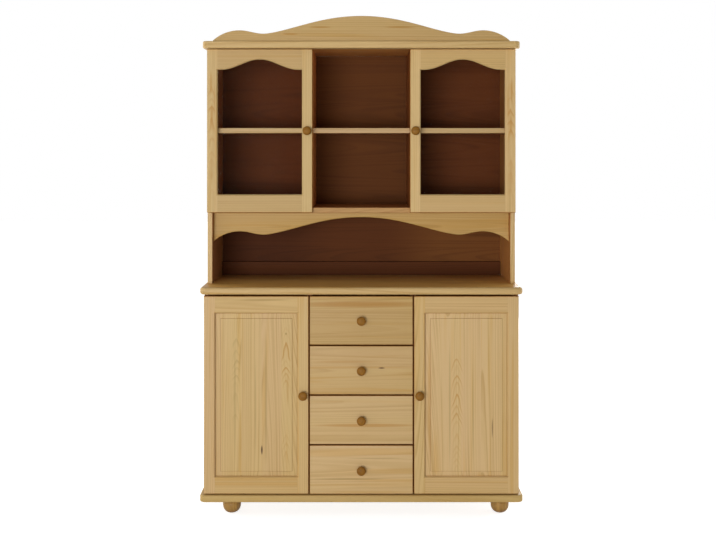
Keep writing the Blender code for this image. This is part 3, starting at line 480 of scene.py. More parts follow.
def ramp(value, low, high):
    """A smooth step from 0 at low to 1 at high."""
    inputs = {"Value": value, "From Min": low, "From Max": high}
    node = add_node(value.id_data, "ShaderNodeMapRange", inputs, interpolation_type="SMOOTHSTEP")
    return node.outputs[0]


def blend_colours(factor, first, second, mode="MIX"):
    """Two colours mixed by a factor."""
    tree = tree_of(factor, first, second)
    inputs = {0: factor}
    for key, colour in ((6, first), (7, second)):
        inputs[key] = colour if isinstance(colour, bpy.types.NodeSocket) else (*colour, 1)
    return add_node(tree, "ShaderNodeMix", inputs, data_type="RGBA", blend_type=mode).outputs[2]


def multiplied(colour, tint):
    """A colour multiplied by another."""
    return blend_colours(1.0, colour, tint, "MULTIPLY")


def split(vector):
    """The x, y and z of a vector."""
    return add_node(vector.id_data, "ShaderNodeSeparateXYZ", {0: vector}).outputs


def gathered(*parts):
    """A vector from its x, y and z."""
    return add_node(tree_of(*parts), "ShaderNodeCombineXYZ", dict(enumerate(parts))).outputs[0]


def stretched(vector, scales):
    """A vector scaled by its own amount along each axis."""
    return add_node(
        vector.id_data, "ShaderNodeVectorMath", {0: vector, 1: scales}, operation="MULTIPLY"
    ).outputs[0]


def cloud(vector, detail):
    """A soft noise at unit scale, from about 0.3 to 0.7."""
    inputs = {"Vector": vector, "Scale": 1.0, "Detail": detail}
    return add_node(vector.id_data, "ShaderNodeTexNoise", inputs).outputs[0]


def ring_noise(distance, number, scale):
    """A noise that changes only with the distance from the heart of the tree."""
    return cloud(gathered(times(distance, scale), number), 1.0)


def lot(number):
    """Random values that belong to a whole number."""
    return add_node(number.id_data, "ShaderNodeTexWhiteNoise", {"W": number}, noise_dimensions="1D").outputs


def split_colour(colour):
    """The red, green and blue of a colour."""
    return add_node(colour.id_data, "ShaderNodeSeparateColor", {0: colour}).outputs


def object_place(tree):
    """The place on the piece, in metres."""
    return add_node(tree, "ShaderNodeTexCoord").outputs["Object"]


def heart_distance(local, depth, along, number, chance, figure):
    """How far a point lies from the heart of the tree that its strip was sawn from."""
    first, second, third = split_colour(chance)
    along_scale, number_scale = HEART_SCALES
    drift = cloud(gathered(times(along, along_scale), times(number, number_scale)), 1.0)
    wander = times(minus(drift, 0.5), times(figure, HEART_WANDER))
    sideways = plus(local, times(minus(first, 0.5), HEART_OFFSET), wander)
    slope = times(minus(third, 0.5), times(figure, HEART_TILT))
    rising = times(slope, plus(along, scaled(second, *HEART_PLACES)))
    inwards = plus(times(depth, DEPTH_SHARE), rising)
    return maths("SQRT", plus(times(sideways, sideways), times(inwards, inwards)))


def knots(shifted):
    """How far a point lies in a knot, and how far the rings bend round one there."""
    inputs = {"Vector": stretched(shifted, KNOT_SCALES), "Scale": 1.0}
    spots = add_node(shifted.id_data, "ShaderNodeTexVoronoi", inputs).outputs
    rarity, size, _ = split_colour(spots["Color"])
    present = maths("GREATER_THAN", rarity, KNOT_RARITY)
    near = minus(1.0, over(spots["Distance"], scaled(size, *KNOT_SIZES)))
    return times(ramp(near, 0.0, 0.55), present), times(ramp(spots["Distance"], 0.30, 0.0), present)


def year_lines(bent, number, shifted, spacing):
    """Dark lines at the end of each year, and wider ones where several narrow years lie together."""
    uneven = times(ring_noise(bent, number, UNEVEN_SCALE), UNEVENNESS)
    year = maths("FRACT", plus(over(bent, spacing), uneven))
    line = times(ramp(year, 0.50, 0.90), minus(1.0, ramp(year, 0.93, 1.0)))
    strength = ramp(cloud(stretched(shifted, FADE_SCALES), 1.0), 0.35, 0.65)
    groups = ramp(ring_noise(bent, number, GROUP_SCALE), 0.52, 0.68)
    pairs = ramp(ring_noise(bent, plus(number, PAIR_SEED), PAIR_SCALE), 0.52, 0.72)
    wide = maths("MAXIMUM", times(groups, 0.9), times(pairs, 0.75))
    return maths("MAXIMUM", times(line, scaled(strength, 0.7, 0.3)), times(wide, scaled(strength, 0.6, 0.4)))


def grain_group(finish):
    """Year rings, glued strips, fibres, streaks and knots from (across, depth, along) in metres."""
    tree = bpy.data.node_groups.new("sawn grain", "ShaderNodeTree")
    for name, kind in (("Grain", "Vector"), ("Strip width", "Float"), ("Seed", "Float"), ("Figure", "Float")):
        tree.interface.new_socket(name, in_out="INPUT", socket_type=f"NodeSocket{kind}")
    for name in ("Tone", "Streak", "Late", "Knot", "Fibre"):
        tree.interface.new_socket(name, in_out="OUTPUT", socket_type="NodeSocketFloat")
    vector, width, seed, figure = tree.nodes.new("NodeGroupInput").outputs[:4]
    across, depth, along = split(vector)

    strip = maths("FLOOR", over(across, width))
    number = plus(strip, seed)
    local = minus(across, times(plus(strip, 0.5), width))
    chance = lot(number)
    across_shift, along_shift = BOARD_SHIFT
    shift = gathered(times(number, across_shift), 0.0, times(number, along_shift))
    shifted = add_node(tree, "ShaderNodeVectorMath", {0: vector, 1: shift}, operation="ADD").outputs[0]

    knot, bulge = knots(shifted)
    radius = heart_distance(local, depth, along, number, chance["Color"], figure)
    ripple = times(cloud(stretched(shifted, RIPPLE_SCALES), 2.0), RIPPLE)
    late = year_lines(plus(radius, ripple, times(bulge, KNOT_BULGE)), number, shifted, finish.ring_spacing)
    streak = ramp(cloud(stretched(shifted, STREAK_SCALES), 2.0), 0.54, 0.70)
    drift = times(cloud(stretched(shifted, TONE_SCALES), 1.0), 0.9)
    tone = plus(times(chance["Value"], 0.6), minus(drift, 0.25))
    fibre = cloud(stretched(shifted, FIBRE_SCALES), 3.0)

    for socket, value in zip(tree.nodes.new("NodeGroupOutput").inputs, (tone, streak, late, knot, fibre)):
        tree.links.new(value, socket)
    return tree


def edge_wear_and_highlight(tree):
    """Near 1 on the arrises, where the lacquer is thinnest and a highlight is painted on, and 0 on the flats.
    """
    rounded = add_node(tree, "ShaderNodeBevel", {"Radius": WORN_HIGHLIGHT_RADIUS}, samples=4).outputs[0]
    flat = add_node(tree, "ShaderNodeNewGeometry").outputs["True Normal"]
    match = add_node(tree, "ShaderNodeVectorMath", {0: rounded, 1: flat}, operation="DOT_PRODUCT")
    return ramp(match.outputs["Value"], 0.995, 0.80)


def grain_vector(place, along, face):
    """Object coordinates as (across, depth, along), for boards whose broad faces look along one axis."""
    axes = split(place)
    across = ({0, 1, 2} - {AXES[along], AXES[face]}).pop()
    return gathered(axes[across], axes[AXES[face]], axes[AXES[along]])


def within(place, ranges):
    """1 where object coordinates lie inside all of the (axis, low, high, softness) ranges, else 0."""
    axes = split(place)
    mask = 1.0
    for axis, low, high, softness in ranges:
        above = ramp(axes[AXES[axis]], low - softness, low + softness)
        below = ramp(axes[AXES[axis]], high + softness, high - softness)
        mask = times(mask, times(above, below))
    return mask


def marked(place, colour, marks):
    """A colour with soft lengthwise marks on a front face."""
    axes = split(place)
    for shade, strength, x, z, half_width, half_height in marks:
        across = over(minus(axes[0], x), half_width)
        along = over(minus(axes[2], z), half_height)
        square = plus(times(across, across), times(along, along))
        colour = blend_colours(times(ramp(square, 1.0, 0.0), strength), colour, shade)
    return colour


def arched(place, colour, arches):
    """A colour with stacked arches on a front face."""
    axes = split(place)
    for shade, strength, x, low, high, half_width, spacing in arches:
        across = over(minus(axes[0], x), half_width)
        square = times(across, across)
        leg = times(maths("SQRT", plus(square, ARCH_BLUNTNESS)), ARCH_SLOPE * half_width)
        drift = times(cloud(stretched(place, ARCH_SCALES), 2.0), ARCH_DRIFT * spacing)
        level = over(plus(axes[2], drift, leg), spacing)
        phase = maths("FRACT", level)
        chance = lot(maths("FLOOR", level))["Value"]
        line = times(ramp(phase, 0.40, 0.85), ramp(phase, 1.0, 0.90), scaled(chance, 0.8, 0.2))
        reach = times(ramp(square, 1.0, 0.1), within(place, [("z", low, high, ARCH_FADE)]))
        colour = blend_colours(times(line, reach, strength), colour, shade)
    return colour


def sawn_grain(place, along, face, rails, seed, width, figure):
    """The tone, streaks, year lines, knots and fibres of a board."""
    finish = bpy.context.scene.dresser_finish
    tree = place.id_data
    vector = grain_vector(place, along, face)
    if rails:
        x = split(place)[0]
        between = times(maths("GREATER_THAN", x, rails[0]), maths("LESS_THAN", x, rails[1]))
        level = stretched(grain_vector(place, "x", face), RAIL_SCALES)
        mix = add_node(tree, "ShaderNodeMix", {0: between, 4: vector, 5: level}, data_type="VECTOR")
        vector = mix.outputs[1]
    inputs = {"Grain": vector, "Strip width": width or finish.strip_width, "Seed": seed, "Figure": figure}
    group = bpy.data.node_groups.get("sawn grain") or grain_group(finish)
    return add_node(tree, "ShaderNodeGroup", inputs, node_tree=group).outputs


def wood(
    name, palette, along, face, seed, width=None, figure=0.8, contrast=1.0, rails=None,
    roughness=0.48, sheen=0.2, shade=PLAIN, tints=(), marks=(), arches=(),
):
    """A wood finish, with its grain along one axis, for boards whose broad faces look along another.

    A palette is one of the woods above. Figure is how far the grain leaves straight lines, and contrast
    is how dark the year lines are. Between the two x limits of rails the grain runs level. Tints are
    made by tinted.
    """
    if name in bpy.data.materials:
        return bpy.data.materials[name]
    finish = bpy.context.scene.dresser_finish
    material, tree, shader = new_material(name)
    place = object_place(tree)
    tone, streak, late, knot, fibre = sawn_grain(place, along, face, rails, seed, width, figure)
    pale, warm, honey, dark, knot_colour = (tuple(getattr(finish, entry)) for entry in palette)
    colour = blend_colours(tone, pale, warm)
    colour = blend_colours(times(streak, STREAK_SHARE), colour, honey)
    colour = blend_colours(times(late, LATE_SHARE * contrast), colour, dark)
    colour = blend_colours(times(ramp(fibre, 0.52, 0.80), FIBRE_SHARE), colour, dark)
    colour = blend_colours(knot, colour, knot_colour)
    colour = arched(place, marked(place, colour, marks), arches)
    # The arrises are lighter: partly worn lacquer, partly a painted highlight.
    worn_and_lit = edge_wear_and_highlight(tree)
    colour = blend_colours(times(worn_and_lit, WORN_HIGHLIGHT_SHARE), colour, multiplied(colour, WORN_HIGHLIGHT_COLOUR))
    if shade != PLAIN:
        colour = multiplied(colour, shade)
    for ranges, tint in tints:
        colour = blend_colours(within(place, ranges), colour, multiplied(colour, tint))
    tree.links.new(colour, shader.inputs["Base Color"])
    rough = scaled(fibre, FIBRE_ROUGHNESS, roughness - FIBRE_ROUGHNESS / 2)
    rough = minus(plus(rough, times(worn_and_lit, WORN_ROUGHNESS)), times(late, LATE_SMOOTHNESS))
    tree.links.new(rough, shader.inputs["Roughness"])
    height = plus(times(late, 0.5), times(fibre, 0.5))
    bump = add_node(tree, "ShaderNodeBump", {**WOOD_BUMP, "Height": height})
    tree.links.new(bump.outputs[0], shader.inputs["Normal"])
    shader.inputs["Specular IOR Level"].default_value = sheen
    return material


def stained(name, seed, figure, shade=PLAIN, tints=()):
    """The finish of a back or rail of brown stained boards."""
    return wood(
        name, STAINED, "x", "y", seed=seed, width=STAINED_STRIP, figure=figure, roughness=0.62,
        sheen=0.05, shade=shade, tints=tints,
    )


def new_material(name):
    """A new material, its node tree and its shader."""
    material = bpy.data.materials.new(name)
    material.use_nodes = True
    return material, material.node_tree, material.node_tree.nodes["Principled BSDF"]


def tinted(tint, *ranges):
    """A tint for a wood: a colour to multiply by, inside some (axis, low, high, softness) ranges."""
    return ranges, tint


def step_shade_lines(axis, places, other, limits):
    """Tints of painted shade: a soft brown line along two opposite edges of a panel's field or margin."""
    return [
        tinted(STEP_SHADE_TINT, (axis, place - RIM / 2, place + RIM / 2, HAIR), (other, *limits, HAIR))
        for place in places
    ]


def joints(*places):
    """Tints for the fine lines where rails meet stiles."""
    return [tinted(JOINT_TINT, ("x", place - HAIR, place + HAIR, 3 * HAIR)) for place in places]


def gap_shade_rims(node):
    """Tints that darken the edges of a front that face other fronts: painted shade in the gaps between them.
    """
    low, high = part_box(node)
    edges = [("z", low.z), ("z", high.z)]
    if low.x > -INNER_FRONTS:
        edges.append(("x", low.x))
    if high.x < INNER_FRONTS:
        edges.append(("x", high.x))
    return [tinted(GAP_SHADE_TINT, (axis, place - RIM, place + RIM, HAIR)) for axis, place in edges]


def steel_finish():
    """Nickel-plated steel with faint brushing."""
    name = "nickelled steel"
    if name in bpy.data.materials:
        return bpy.data.materials[name]
    material, tree, shader = new_material(name)
    place = object_place(tree)
    brushed = cloud(stretched(place, BRUSHED_SCALES), 2.0)
    smeared = cloud(stretched(place, SMEARED_SCALES), 3.0)
    base = tuple(bpy.context.scene.dresser_finish.steel)
    darker = tuple(SMEAR_DARKNESS * part for part in base)
    tree.links.new(blend_colours(ramp(smeared, 0.35, 0.75), base, darker), shader.inputs["Base Color"])
    tree.links.new(scaled(brushed, 0.18, 0.20), shader.inputs["Roughness"])
    shader.inputs["Metallic"].default_value = 1.0
    bump = add_node(tree, "ShaderNodeBump", {**STEEL_BUMP, "Height": brushed})
    tree.links.new(bump.outputs[0], shader.inputs["Normal"])
    return material


def glass_finish():
    """Clear float glass: open straight on, with a sheen that grows towards a glancing view."""
    name = "float glass"
    if name in bpy.data.materials:
        return bpy.data.materials[name]
    material, tree, shader = new_material(name)
    shader.inputs["Base Color"].default_value = (*bpy.context.scene.dresser_finish.glass, 1)
    shader.inputs["Roughness"].default_value = 0.04
    shader.inputs["IOR"].default_value = 1.5
    clear = add_node(tree, "ShaderNodeBsdfTransparent", {"Color": PANE_COLOUR}).outputs[0]
    slant = add_node(tree, "ShaderNodeLayerWeight", {"Blend": 0.5}).outputs["Facing"]
    sheen = scaled(maths("POWER", slant, PANE_SHEEN_POWER), *PANE_SHEEN)
    mix = add_node(tree, "ShaderNodeMixShader", {0: sheen, 1: clear, 2: shader.outputs[0]})
    tree.links.new(mix.outputs[0], tree.nodes["Material Output"].inputs["Surface"])
    return material


def dress(node_name, material):
    """Gives a packed board its finish."""
    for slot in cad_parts[node_name].material_slots:
        slot.material = material


def middle(node):
    """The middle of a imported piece's box."""
    low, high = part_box(node)
    return [(first + last) / 2 for first, last in zip(low, high)]


def outer_x(node, sign):
    """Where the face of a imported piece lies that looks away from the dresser's middle."""
    low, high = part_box(node)
    return high.x if sign > 0 else low.x


def block(shape, low, high):
    """Adds a box between two corners to a shape."""
    for corner in bmesh.ops.create_cube(shape, size=1)["verts"]:
        corner.co = [low[axis] if corner.co[axis] < 0 else high[axis] for axis in range(3)]


def soften(shape, edges, radius, segments):
    """Rounds edges over."""
    bmesh.ops.bevel(
        shape, geom=edges, offset=radius, offset_type="OFFSET", segments=segments, affect="EDGES",
        profile=0.5, material=-1, clamp_overlap=True,
    )


def reach_of(edge, axis):
    """How far an edge runs along an axis."""
    first, last = edge.verts
    return abs(first.co[axis] - last.co[axis])


def add_piece(name, shape, body, finish, replaces=()):
    """Makes an object of a shape, which rides on a body and may stand for packed boards."""
    bmesh.ops.recalc_face_normals(shape, faces=shape.faces)
    mesh = bpy.data.meshes.new(name)
    shape.to_mesh(mesh)
    shape.free()
    mesh.shade_smooth()
    mesh.set_sharp_from_angle(angle=SHARP_ANGLE)
    mesh.materials.append(finish)
    piece = bpy.data.objects.new(name, mesh)
    bpy.context.scene.collection.objects.link(piece)
    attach(piece, body)
    if replaces:
        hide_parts(*replaces)


def add_metal(name, shapes, body):
    """Makes one object of several small steel parts."""
    add_piece(name, joined(shapes), body, steel_finish())


def spun(profile, steps):
    """A shape turned about Z from (radius, height) points that start and end on the axis."""
    shape = bmesh.new()
    points = [shape.verts.new((radius, 0, height)) for radius, height in profile]
    lines = [shape.edges.new(pair) for pair in zip(points, points[1:])]
    bmesh.ops.spin(
        shape, geom=points + lines, cent=(0, 0, 0), axis=(0, 0, 1), angle=2 * math.pi, steps=steps,
        use_merge=True,
    )
    bmesh.ops.remove_doubles(shape, verts=shape.verts, dist=MERGE)
    return shape


def joined(shapes):
    """Several shapes as one."""
    whole = bmesh.new()
    for shape in shapes:
        mesh = bpy.data.meshes.new("passing")
        shape.to_mesh(mesh)
        shape.free()
        whole.from_mesh(mesh)
        bpy.data.meshes.remove(mesh)
    return whole


def placed(shape, place, turn=0.0):
    """A shape turned about X and moved to its place."""
    matrix = Matrix.Translation(place) @ Matrix.Rotation(turn, 4, "X")
    bmesh.ops.transform(shape, matrix=matrix, verts=shape.verts)
    return shape


def nosed_board(node, nose):
    """A thick board with rounded front corners and a rounded nose on its front and ends."""
    low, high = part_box(node)
    shape = bmesh.new()
    block(shape, low, high)
    front = [edge for edge in shape.edges if all(corner.co.y < 0 for corner in edge.verts)]
    uprights = [edge for edge in front if reach_of(edge, 2) > MERGE]
    soften(shape, uprights, SLAB_CORNER, CORNER_SEGMENTS)
    rim = [
        edge for edge in shape.edges
        if reach_of(edge, 2) < MERGE and min(corner.co.y for corner in edge.verts) < high.y - MERGE
    ]
    soften(shape, rim, nose, NOSE_SEGMENTS)
    return shape


def soft_front(node):
    """A board whose front face has its edges rounded over and whose back edges are eased."""
    low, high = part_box(node)
    shape = bmesh.new()
    block(shape, low, high)
    halfway = (low.y + high.y) / 2
    front = [edge for edge in shape.edges if all(corner.co.y < halfway for corner in edge.verts)]
    soften(shape, front, FRONT_SOFTENING, FRONT_SEGMENTS)
    rear = [edge for edge in shape.edges if all(corner.co.y > high.y - MERGE for corner in edge.verts)]
    soften(shape, rear, ARRIS, ARRIS_SEGMENTS)
    return shape


def serpentine_rise(from_end, half_width):
    """Height of the serpentine curve over its end: an arc up to a hump, a dip, then a long swell."""
    if from_end <= HUMP_FROM_END:
        radius = (HUMP_FROM_END ** 2 + HUMP_RISE ** 2) / (2 * HUMP_RISE)
        return HUMP_RISE - radius + math.sqrt(radius ** 2 - (HUMP_FROM_END - from_end) ** 2)
    if from_end <= VALLEY_FROM_END:
        share = (from_end - HUMP_FROM_END) / (VALLEY_FROM_END - HUMP_FROM_END)
        return VALLEY_RISE + (HUMP_RISE - VALLEY_RISE) * (1 + math.cos(math.pi * share)) / 2
    share = (from_end - VALLEY_FROM_END) / (half_width - VALLEY_FROM_END)
    return VALLEY_RISE + (CURVE_RISE - VALLEY_RISE) * math.sin(math.pi / 2 * share ** SWELL_POWER) ** 2


def serpentine_board(node, level, top_is_curved, radius):
    """A board with a serpentine edge, its front arris rounded over."""
    low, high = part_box(node)
    half = high.x
    places = [half * (2 * step / CURVE_STEPS - 1) for step in range(CURVE_STEPS + 1)]
    curve = [(x, level + serpentine_rise(half - abs(x), half)) for x in places]
    straight = low.z if top_is_curved else high.z
    outline = [(-half, straight), *curve, (half, straight)]
    shape = bmesh.new()
    corners = [shape.verts.new((x, high.y, z)) for x, z in outline]
    lines = [shape.edges.new(pair) for pair in zip(corners, corners[1:] + corners[:1])]
    back = bmesh.ops.contextual_create(shape, geom=lines)["faces"]
    front = bmesh.ops.extrude_face_region(shape, geom=back, use_keep_orig=True)["geom"]
    moved = [part for part in front if isinstance(part, bmesh.types.BMVert)]
    bmesh.ops.translate(shape, verts=moved, vec=(0, low.y - high.y, 0))
    bmesh.ops.recalc_face_normals(shape, faces=shape.faces)
    rim = [edge for edge in shape.edges if all(corner.co.y < low.y + MERGE for corner in edge.verts)]
    soften(shape, rim, radius, CURVE_SEGMENTS)
    return shape


def fielded_panel(node):
    """A raised and fielded panel: a tongue all round, a sloping margin and a raised field."""
    low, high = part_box(node)
    shape = bmesh.new()
    block(shape, (low.x, high.y - PANEL_TONGUE, low.z), high)
    field = min(shape.faces, key=lambda face: face.calc_center_median().y)
    for width, rise in PANEL_STEPS:
        bmesh.ops.inset_region(shape, faces=[field], thickness=width, depth=rise, use_even_offset=True)
    return shape


def foot_profile(height):
    """Half outline of a bun foot, cut flat on the floor and at its top."""
    profile = [(0, 0)]
    sweeps = (
        (-1, FOOT_BELLY, 0, FOOT_LOWER_SWEEP, FOOT_FULLNESS),
        (1, 0, height - FOOT_BELLY, FOOT_UPPER_SWEEP, 1),
    )
    for way, first, last, sweep, power in sweeps:
        start, end = (math.asin((rise / sweep) ** (1 / power)) for rise in (first, last))
        for step in range(FOOT_STEPS + 1):
            turn = start + (end - start) * step / FOOT_STEPS
            radius = FOOT_RADIUS * math.cos(turn) ** power
            profile.append((radius, FOOT_BELLY + way * sweep * math.sin(turn) ** power))
    return [*profile, (0, height)]


def hinge_cup(x, back, z):
    """The round cup of a hinge, with the thin round-ended plate that holds it on the back of a door."""
    wings = bmesh.new()
    low = (x - CUP_WING_HALF, back - HAIR, z - CUP_WING_RISE)
    block(wings, low, (x + CUP_WING_HALF, back + 2 * HAIR, z + CUP_WING_RISE))
    corners = [edge for edge in wings.edges if reach_of(edge, 1) > HAIR]
    soften(wings, corners, CUP_WING_ROUNDING, WING_SEGMENTS)
    return [placed(spun(CUP_PROFILE, CUP_ROUND), (x, back, z), math.pi / 2), wings]


def screw_head(place, direction, radius):
    """A countersunk screw head with a cross recess, looking along a direction."""
    shape = bmesh.new()
    bmesh.ops.create_cone(
        shape, cap_ends=True, segments=SCREW_ROUND, radius1=radius, radius2=SCREW_TOP * radius,
        depth=SCREW_THICK,
    )
    top = max(shape.faces, key=lambda face: face.calc_center_median().z)
    bmesh.ops.inset_region(shape, faces=[top], thickness=CROSS_MARGIN * radius, depth=0)
    for corner in top.verts:
        if abs(corner.co.x) > MERGE and abs(corner.co.y) > MERGE:
            corner.co.x *= CROSS_WAIST
            corner.co.y *= CROSS_WAIST
    recess = bmesh.ops.extrude_discrete_faces(shape, faces=[top])["faces"]
    bmesh.ops.translate(shape, verts=recess[0].verts, vec=(0, 0, -CROSS_DEPTH))
    bmesh.ops.scale(shape, verts=recess[0].verts, vec=(CROSS_BOTTOM, CROSS_BOTTOM, 1))
    turn = Vector((0, 0, 1)).rotation_difference(Vector(direction)).to_matrix().to_4x4()
    bmesh.ops.transform(shape, matrix=Matrix.Translation(place) @ turn, verts=shape.verts)
    return shape


def pin_head(place):
    """The flat head of a panel pin, looking to the rear."""
    shape = bmesh.new()
    bmesh.ops.create_cone(
        shape, cap_ends=True, segments=PIN_ROUND, radius1=PIN_RADIUS, radius2=PIN_TOP_RADIUS,
        depth=PIN_THICK,
    )
    return placed(shape, place, -math.pi / 2)


class DRESSER_OT_case(bpy.types.Operator):
    """Finish the sides, partitions, shelves, floors and backs"""

    bl_idname = "dresser.case"
    bl_label = "Finish the case boards"

    def execute(self, context):
        low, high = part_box("bay_floor")
        inside = ("y", low.y + ARRIS / 2, high.y, HAIR)
        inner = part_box("rear_rail")[1].x + ARRIS / 2
        gap = ("y", -FAR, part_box("base_side_left")[0].y + ARRIS / 4, HAIR)
        shadow_gap = [tinted(SHADOW_GAP_TINT, gap)]
        for side, sign in SIDES:
            dress(f"base_side_{side}", wood(
                f"pine base side {side}", PINE, "z", "x", seed=11 + sign, figure=0.55, tints=shadow_gap,
            ))
            dress(f"hutch_side_{side}", wood(
                f"pine hutch side {side}", PINE, "z", "x", seed=17 + sign,
                tints=[tinted(WALL_TINTS[side], ("x", -inner, inner, HAIR))],
            ))
            dress(f"base_partition_{side}", wood(
                "pine partitions", PINE, "z", "x", seed=23, tints=shadow_gap,
            ))
            dress(f"hutch_partition_{side}", wood(
                f"pine hutch partition {side}", PINE, "z", "x", seed=29 + sign,
                tints=[tinted(PARTITION_TINTS[side], inside)],
            ))
            dress(f"base_shelf_{side}", wood("pine base shelves", PINE, "x", "z", seed=31))
        shelf_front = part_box("hutch_shelf_centre")[0].y + ARRIS / 2
        for place, shade in SHELF_SHADES.items():
            dress(f"hutch_shelf_{place}", wood(
                f"pine shelf {place}", PINE, "x", "z", seed=33, shade=shade,
                tints=[tinted(SHELF_TINT, ("y", shelf_front, high.y, HAIR))],
            ))
        dress("bay_floor", wood(
            "pine bay floor", PINE, "x", "z", seed=35, shade=BAY_FLOOR_SHADE,
            tints=[tinted(BAY_FLOOR_TINT, ("x", low.x, high.x, HAIR), inside)],
        ))
        dress("base_back", stained("brown base back", 37, 0.4))
        dress("rear_rail", stained("brown rail", 39, 0.3, shade=RAIL_SHADE))
        dress("hutch_back", stained("brown back", 37, 0.4, tints=self.back_tints(low.z)))
        for back in ("base_back", "hutch_back"):
            add_metal(f"{back}_pins", self.pins(back), "case")
        return {"FINISHED"}

    def back_tints(self, niche_top):
        """Tints for the front face of the hutch's back, across the niche and across the bays over it."""
        face = ("y", -FAR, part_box("hutch_back")[0].y + ARRIS, HAIR)
        niche = (face, ("z", -FAR, niche_top, SOFT_EDGE))
        bays = (face, ("z", niche_top, FAR, SOFT_EDGE))
        return [
            tinted(NICHE_TINT, *niche),
            tinted(NICHE_SIDE_TINTS["left"], *niche, ("x", -FAR, -NICHE_MIDDLE, NICHE_SOFTNESS)),
            tinted(NICHE_SIDE_TINTS["right"], *niche, ("x", NICHE_MIDDLE, FAR, NICHE_SOFTNESS)),
            tinted(BAY_TINTS["left"], *bays, ("x", -FAR, -BAY_EDGE, SOFT_EDGE)),
            tinted(BAY_TINTS["centre"], *bays, ("x", -BAY_EDGE, BAY_EDGE, SOFT_EDGE)),
            tinted(BAY_TINTS["right"], *bays, ("x", BAY_EDGE, FAR, SOFT_EDGE)),
        ]

    def pins(self, back):
        """The heads of the pins along the top and bottom edges of a back."""
        low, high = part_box(back)
        start, length = low.x + PIN_INSET, high.x - low.x - 2 * PIN_INSET
        return [
            pin_head((start + length * space / PIN_SPACES, high.y, z))
            for space in range(PIN_SPACES + 1) for z in (low.z + PIN_INSET, high.z - PIN_INSET)
        ]


class DRESSER_OT_slabs(bpy.types.Operator):
    """Make the worktop, the base board, the cornice and the serpentine boards"""

    bl_idname = "dresser.slabs"
    bl_label = "Make the thick boards"

    def execute(self, context):
        low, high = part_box("bay_floor")
        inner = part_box("rear_rail")[1].x
        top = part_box("worktop")[1].z
        upper_face = ("z", top - HAIR, top + ARRIS, HAIR)
        lower_face = ("z", -FAR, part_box("cornice")[0].z + 2 * HAIR, HAIR)
        tints = {
            "worktop": [
                tinted(WORKTOP_TINT, upper_face),
                tinted(
                    WORKTOP_REAR_TINT, upper_face, ("x", -inner, inner, ARRIS),
                    ("y", WORKTOP_REAR, FAR, WORKTOP_REAR_SOFTNESS),
                ),
            ],
            "base_board": [],
            "cornice": [
                tinted(CORNICE_TINT, ("x", -inner, inner, HAIR), ("y", low.y, high.y, HAIR), lower_face),
            ],
        }
        for seed, node in enumerate(tints, 41):
            finish = wood(
                f"pine {node.replace('_', ' ')}", PINE, "x", "z", seed=seed, figure=0.3,
                shade=SLAB_SHADES[node], tints=tints[node],
            )
            board = nosed_board(node, SLAB_NOSE if node == "worktop" else TIGHT_NOSE)
            add_piece(f"{node}_nosed", board, "case", finish, (node,))
        crown_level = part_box("pediment")[0].z + PEDIMENT_STRIP
        crown = serpentine_board("pediment", crown_level, True, PEDIMENT_SOFTENING)
        finish = wood(
            "pine pediment", PINE, "x", "y", seed=53, figure=0.3, shade=PEDIMENT_SHADE, marks=PEDIMENT_MARKS,
        )
        add_piece("pediment_curved", crown, "case", finish, ("pediment",))
        skirt = serpentine_board("apron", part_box("apron")[0].z, False, APRON_SOFTENING)
        finish = wood("pine apron", PINE, "x", "y", seed=59, figure=0.3, shade=APRON_SHADE)
        add_piece("apron_curved", skirt, "case", finish, ("apron",))
        return {"FINISHED"}


class DRESSER_OT_doors(bpy.types.Operator):
    """Make the panels and finish the doors, their panes and beads"""

    bl_idname = "dresser.doors"
    bl_label = "Make the doors"

    def execute(self, context):
        for side, sign in SIDES:
            for case in CASES:
                dress(f"{case}_door_frame_{side}", self.frame_finish(case, side, sign))
            panel = f"base_door_panel_{side}"
            finish = self.panel_finish(panel, side, sign)
            add_piece(f"{panel}_fielded", fielded_panel(panel), f"base_door_{side}", finish, (panel,))
            dress(f"glazing_bead_{side}", self.frame_finish("hutch", side, sign))
            dress(f"hutch_door_glass_{side}", glass_finish())
        return {"FINISHED"}

    def frame_finish(self, case, side, sign):
        """The finish of a door's frame, whose rails lie level between its stiles."""
        node = f"{case}_door_frame_{side}"
        low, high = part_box(node)
        rails = (low.x + STILES[case], high.x - STILES[case])
        # Painted shade darkens the edges beside the gaps.
        return wood(
            f"pine {case} door {side}", PINE, "z", "y", seed=DOOR_SEEDS[case] + sign,
            width=FRAME_STRIP, figure=0.4, rails=rails, marks=FRAME_MARKS.get(node, ()),
            # The right hutch door is made lighter as painted light.
            arches=FRAME_ARCHES.get(node, ()), shade=FRAME_PAINTED_LIGHT[case][side],
            tints=[*gap_shade_rims(node), *joints(*rails), tinted(RAIL_TINTS[case], ("x", *rails, HAIR))],
        )

    def panel_finish(self, panel, side, sign):
        """The finish of a fielded panel, with a soft line of painted shade round its margin and its field."""
        low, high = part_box(panel)
        lines = []
        # Lines of painted shade where the field rises from the margin and where the margin meets the frame
        for inset in (sum(width for width, _ in PANEL_STEPS[:2]), PANEL_STEPS[0][0] + RIM / 2):
            x_places, z_places = (low.x + inset, high.x - inset), (low.z + inset, high.z - inset)
            lines += [*step_shade_lines("x", x_places, "z", z_places), *step_shade_lines("z", z_places, "x", x_places)]
        # The right panel is made lighter as painted light.
        return wood(
            f"pine panel {side}", PINE, "z", "y", seed=71 + sign, figure=0.9, marks=PANEL_MARKS[side],
            arches=PANEL_ARCHES[side], shade=PANEL_PAINTED_LIGHT[side], tints=lines,
        )


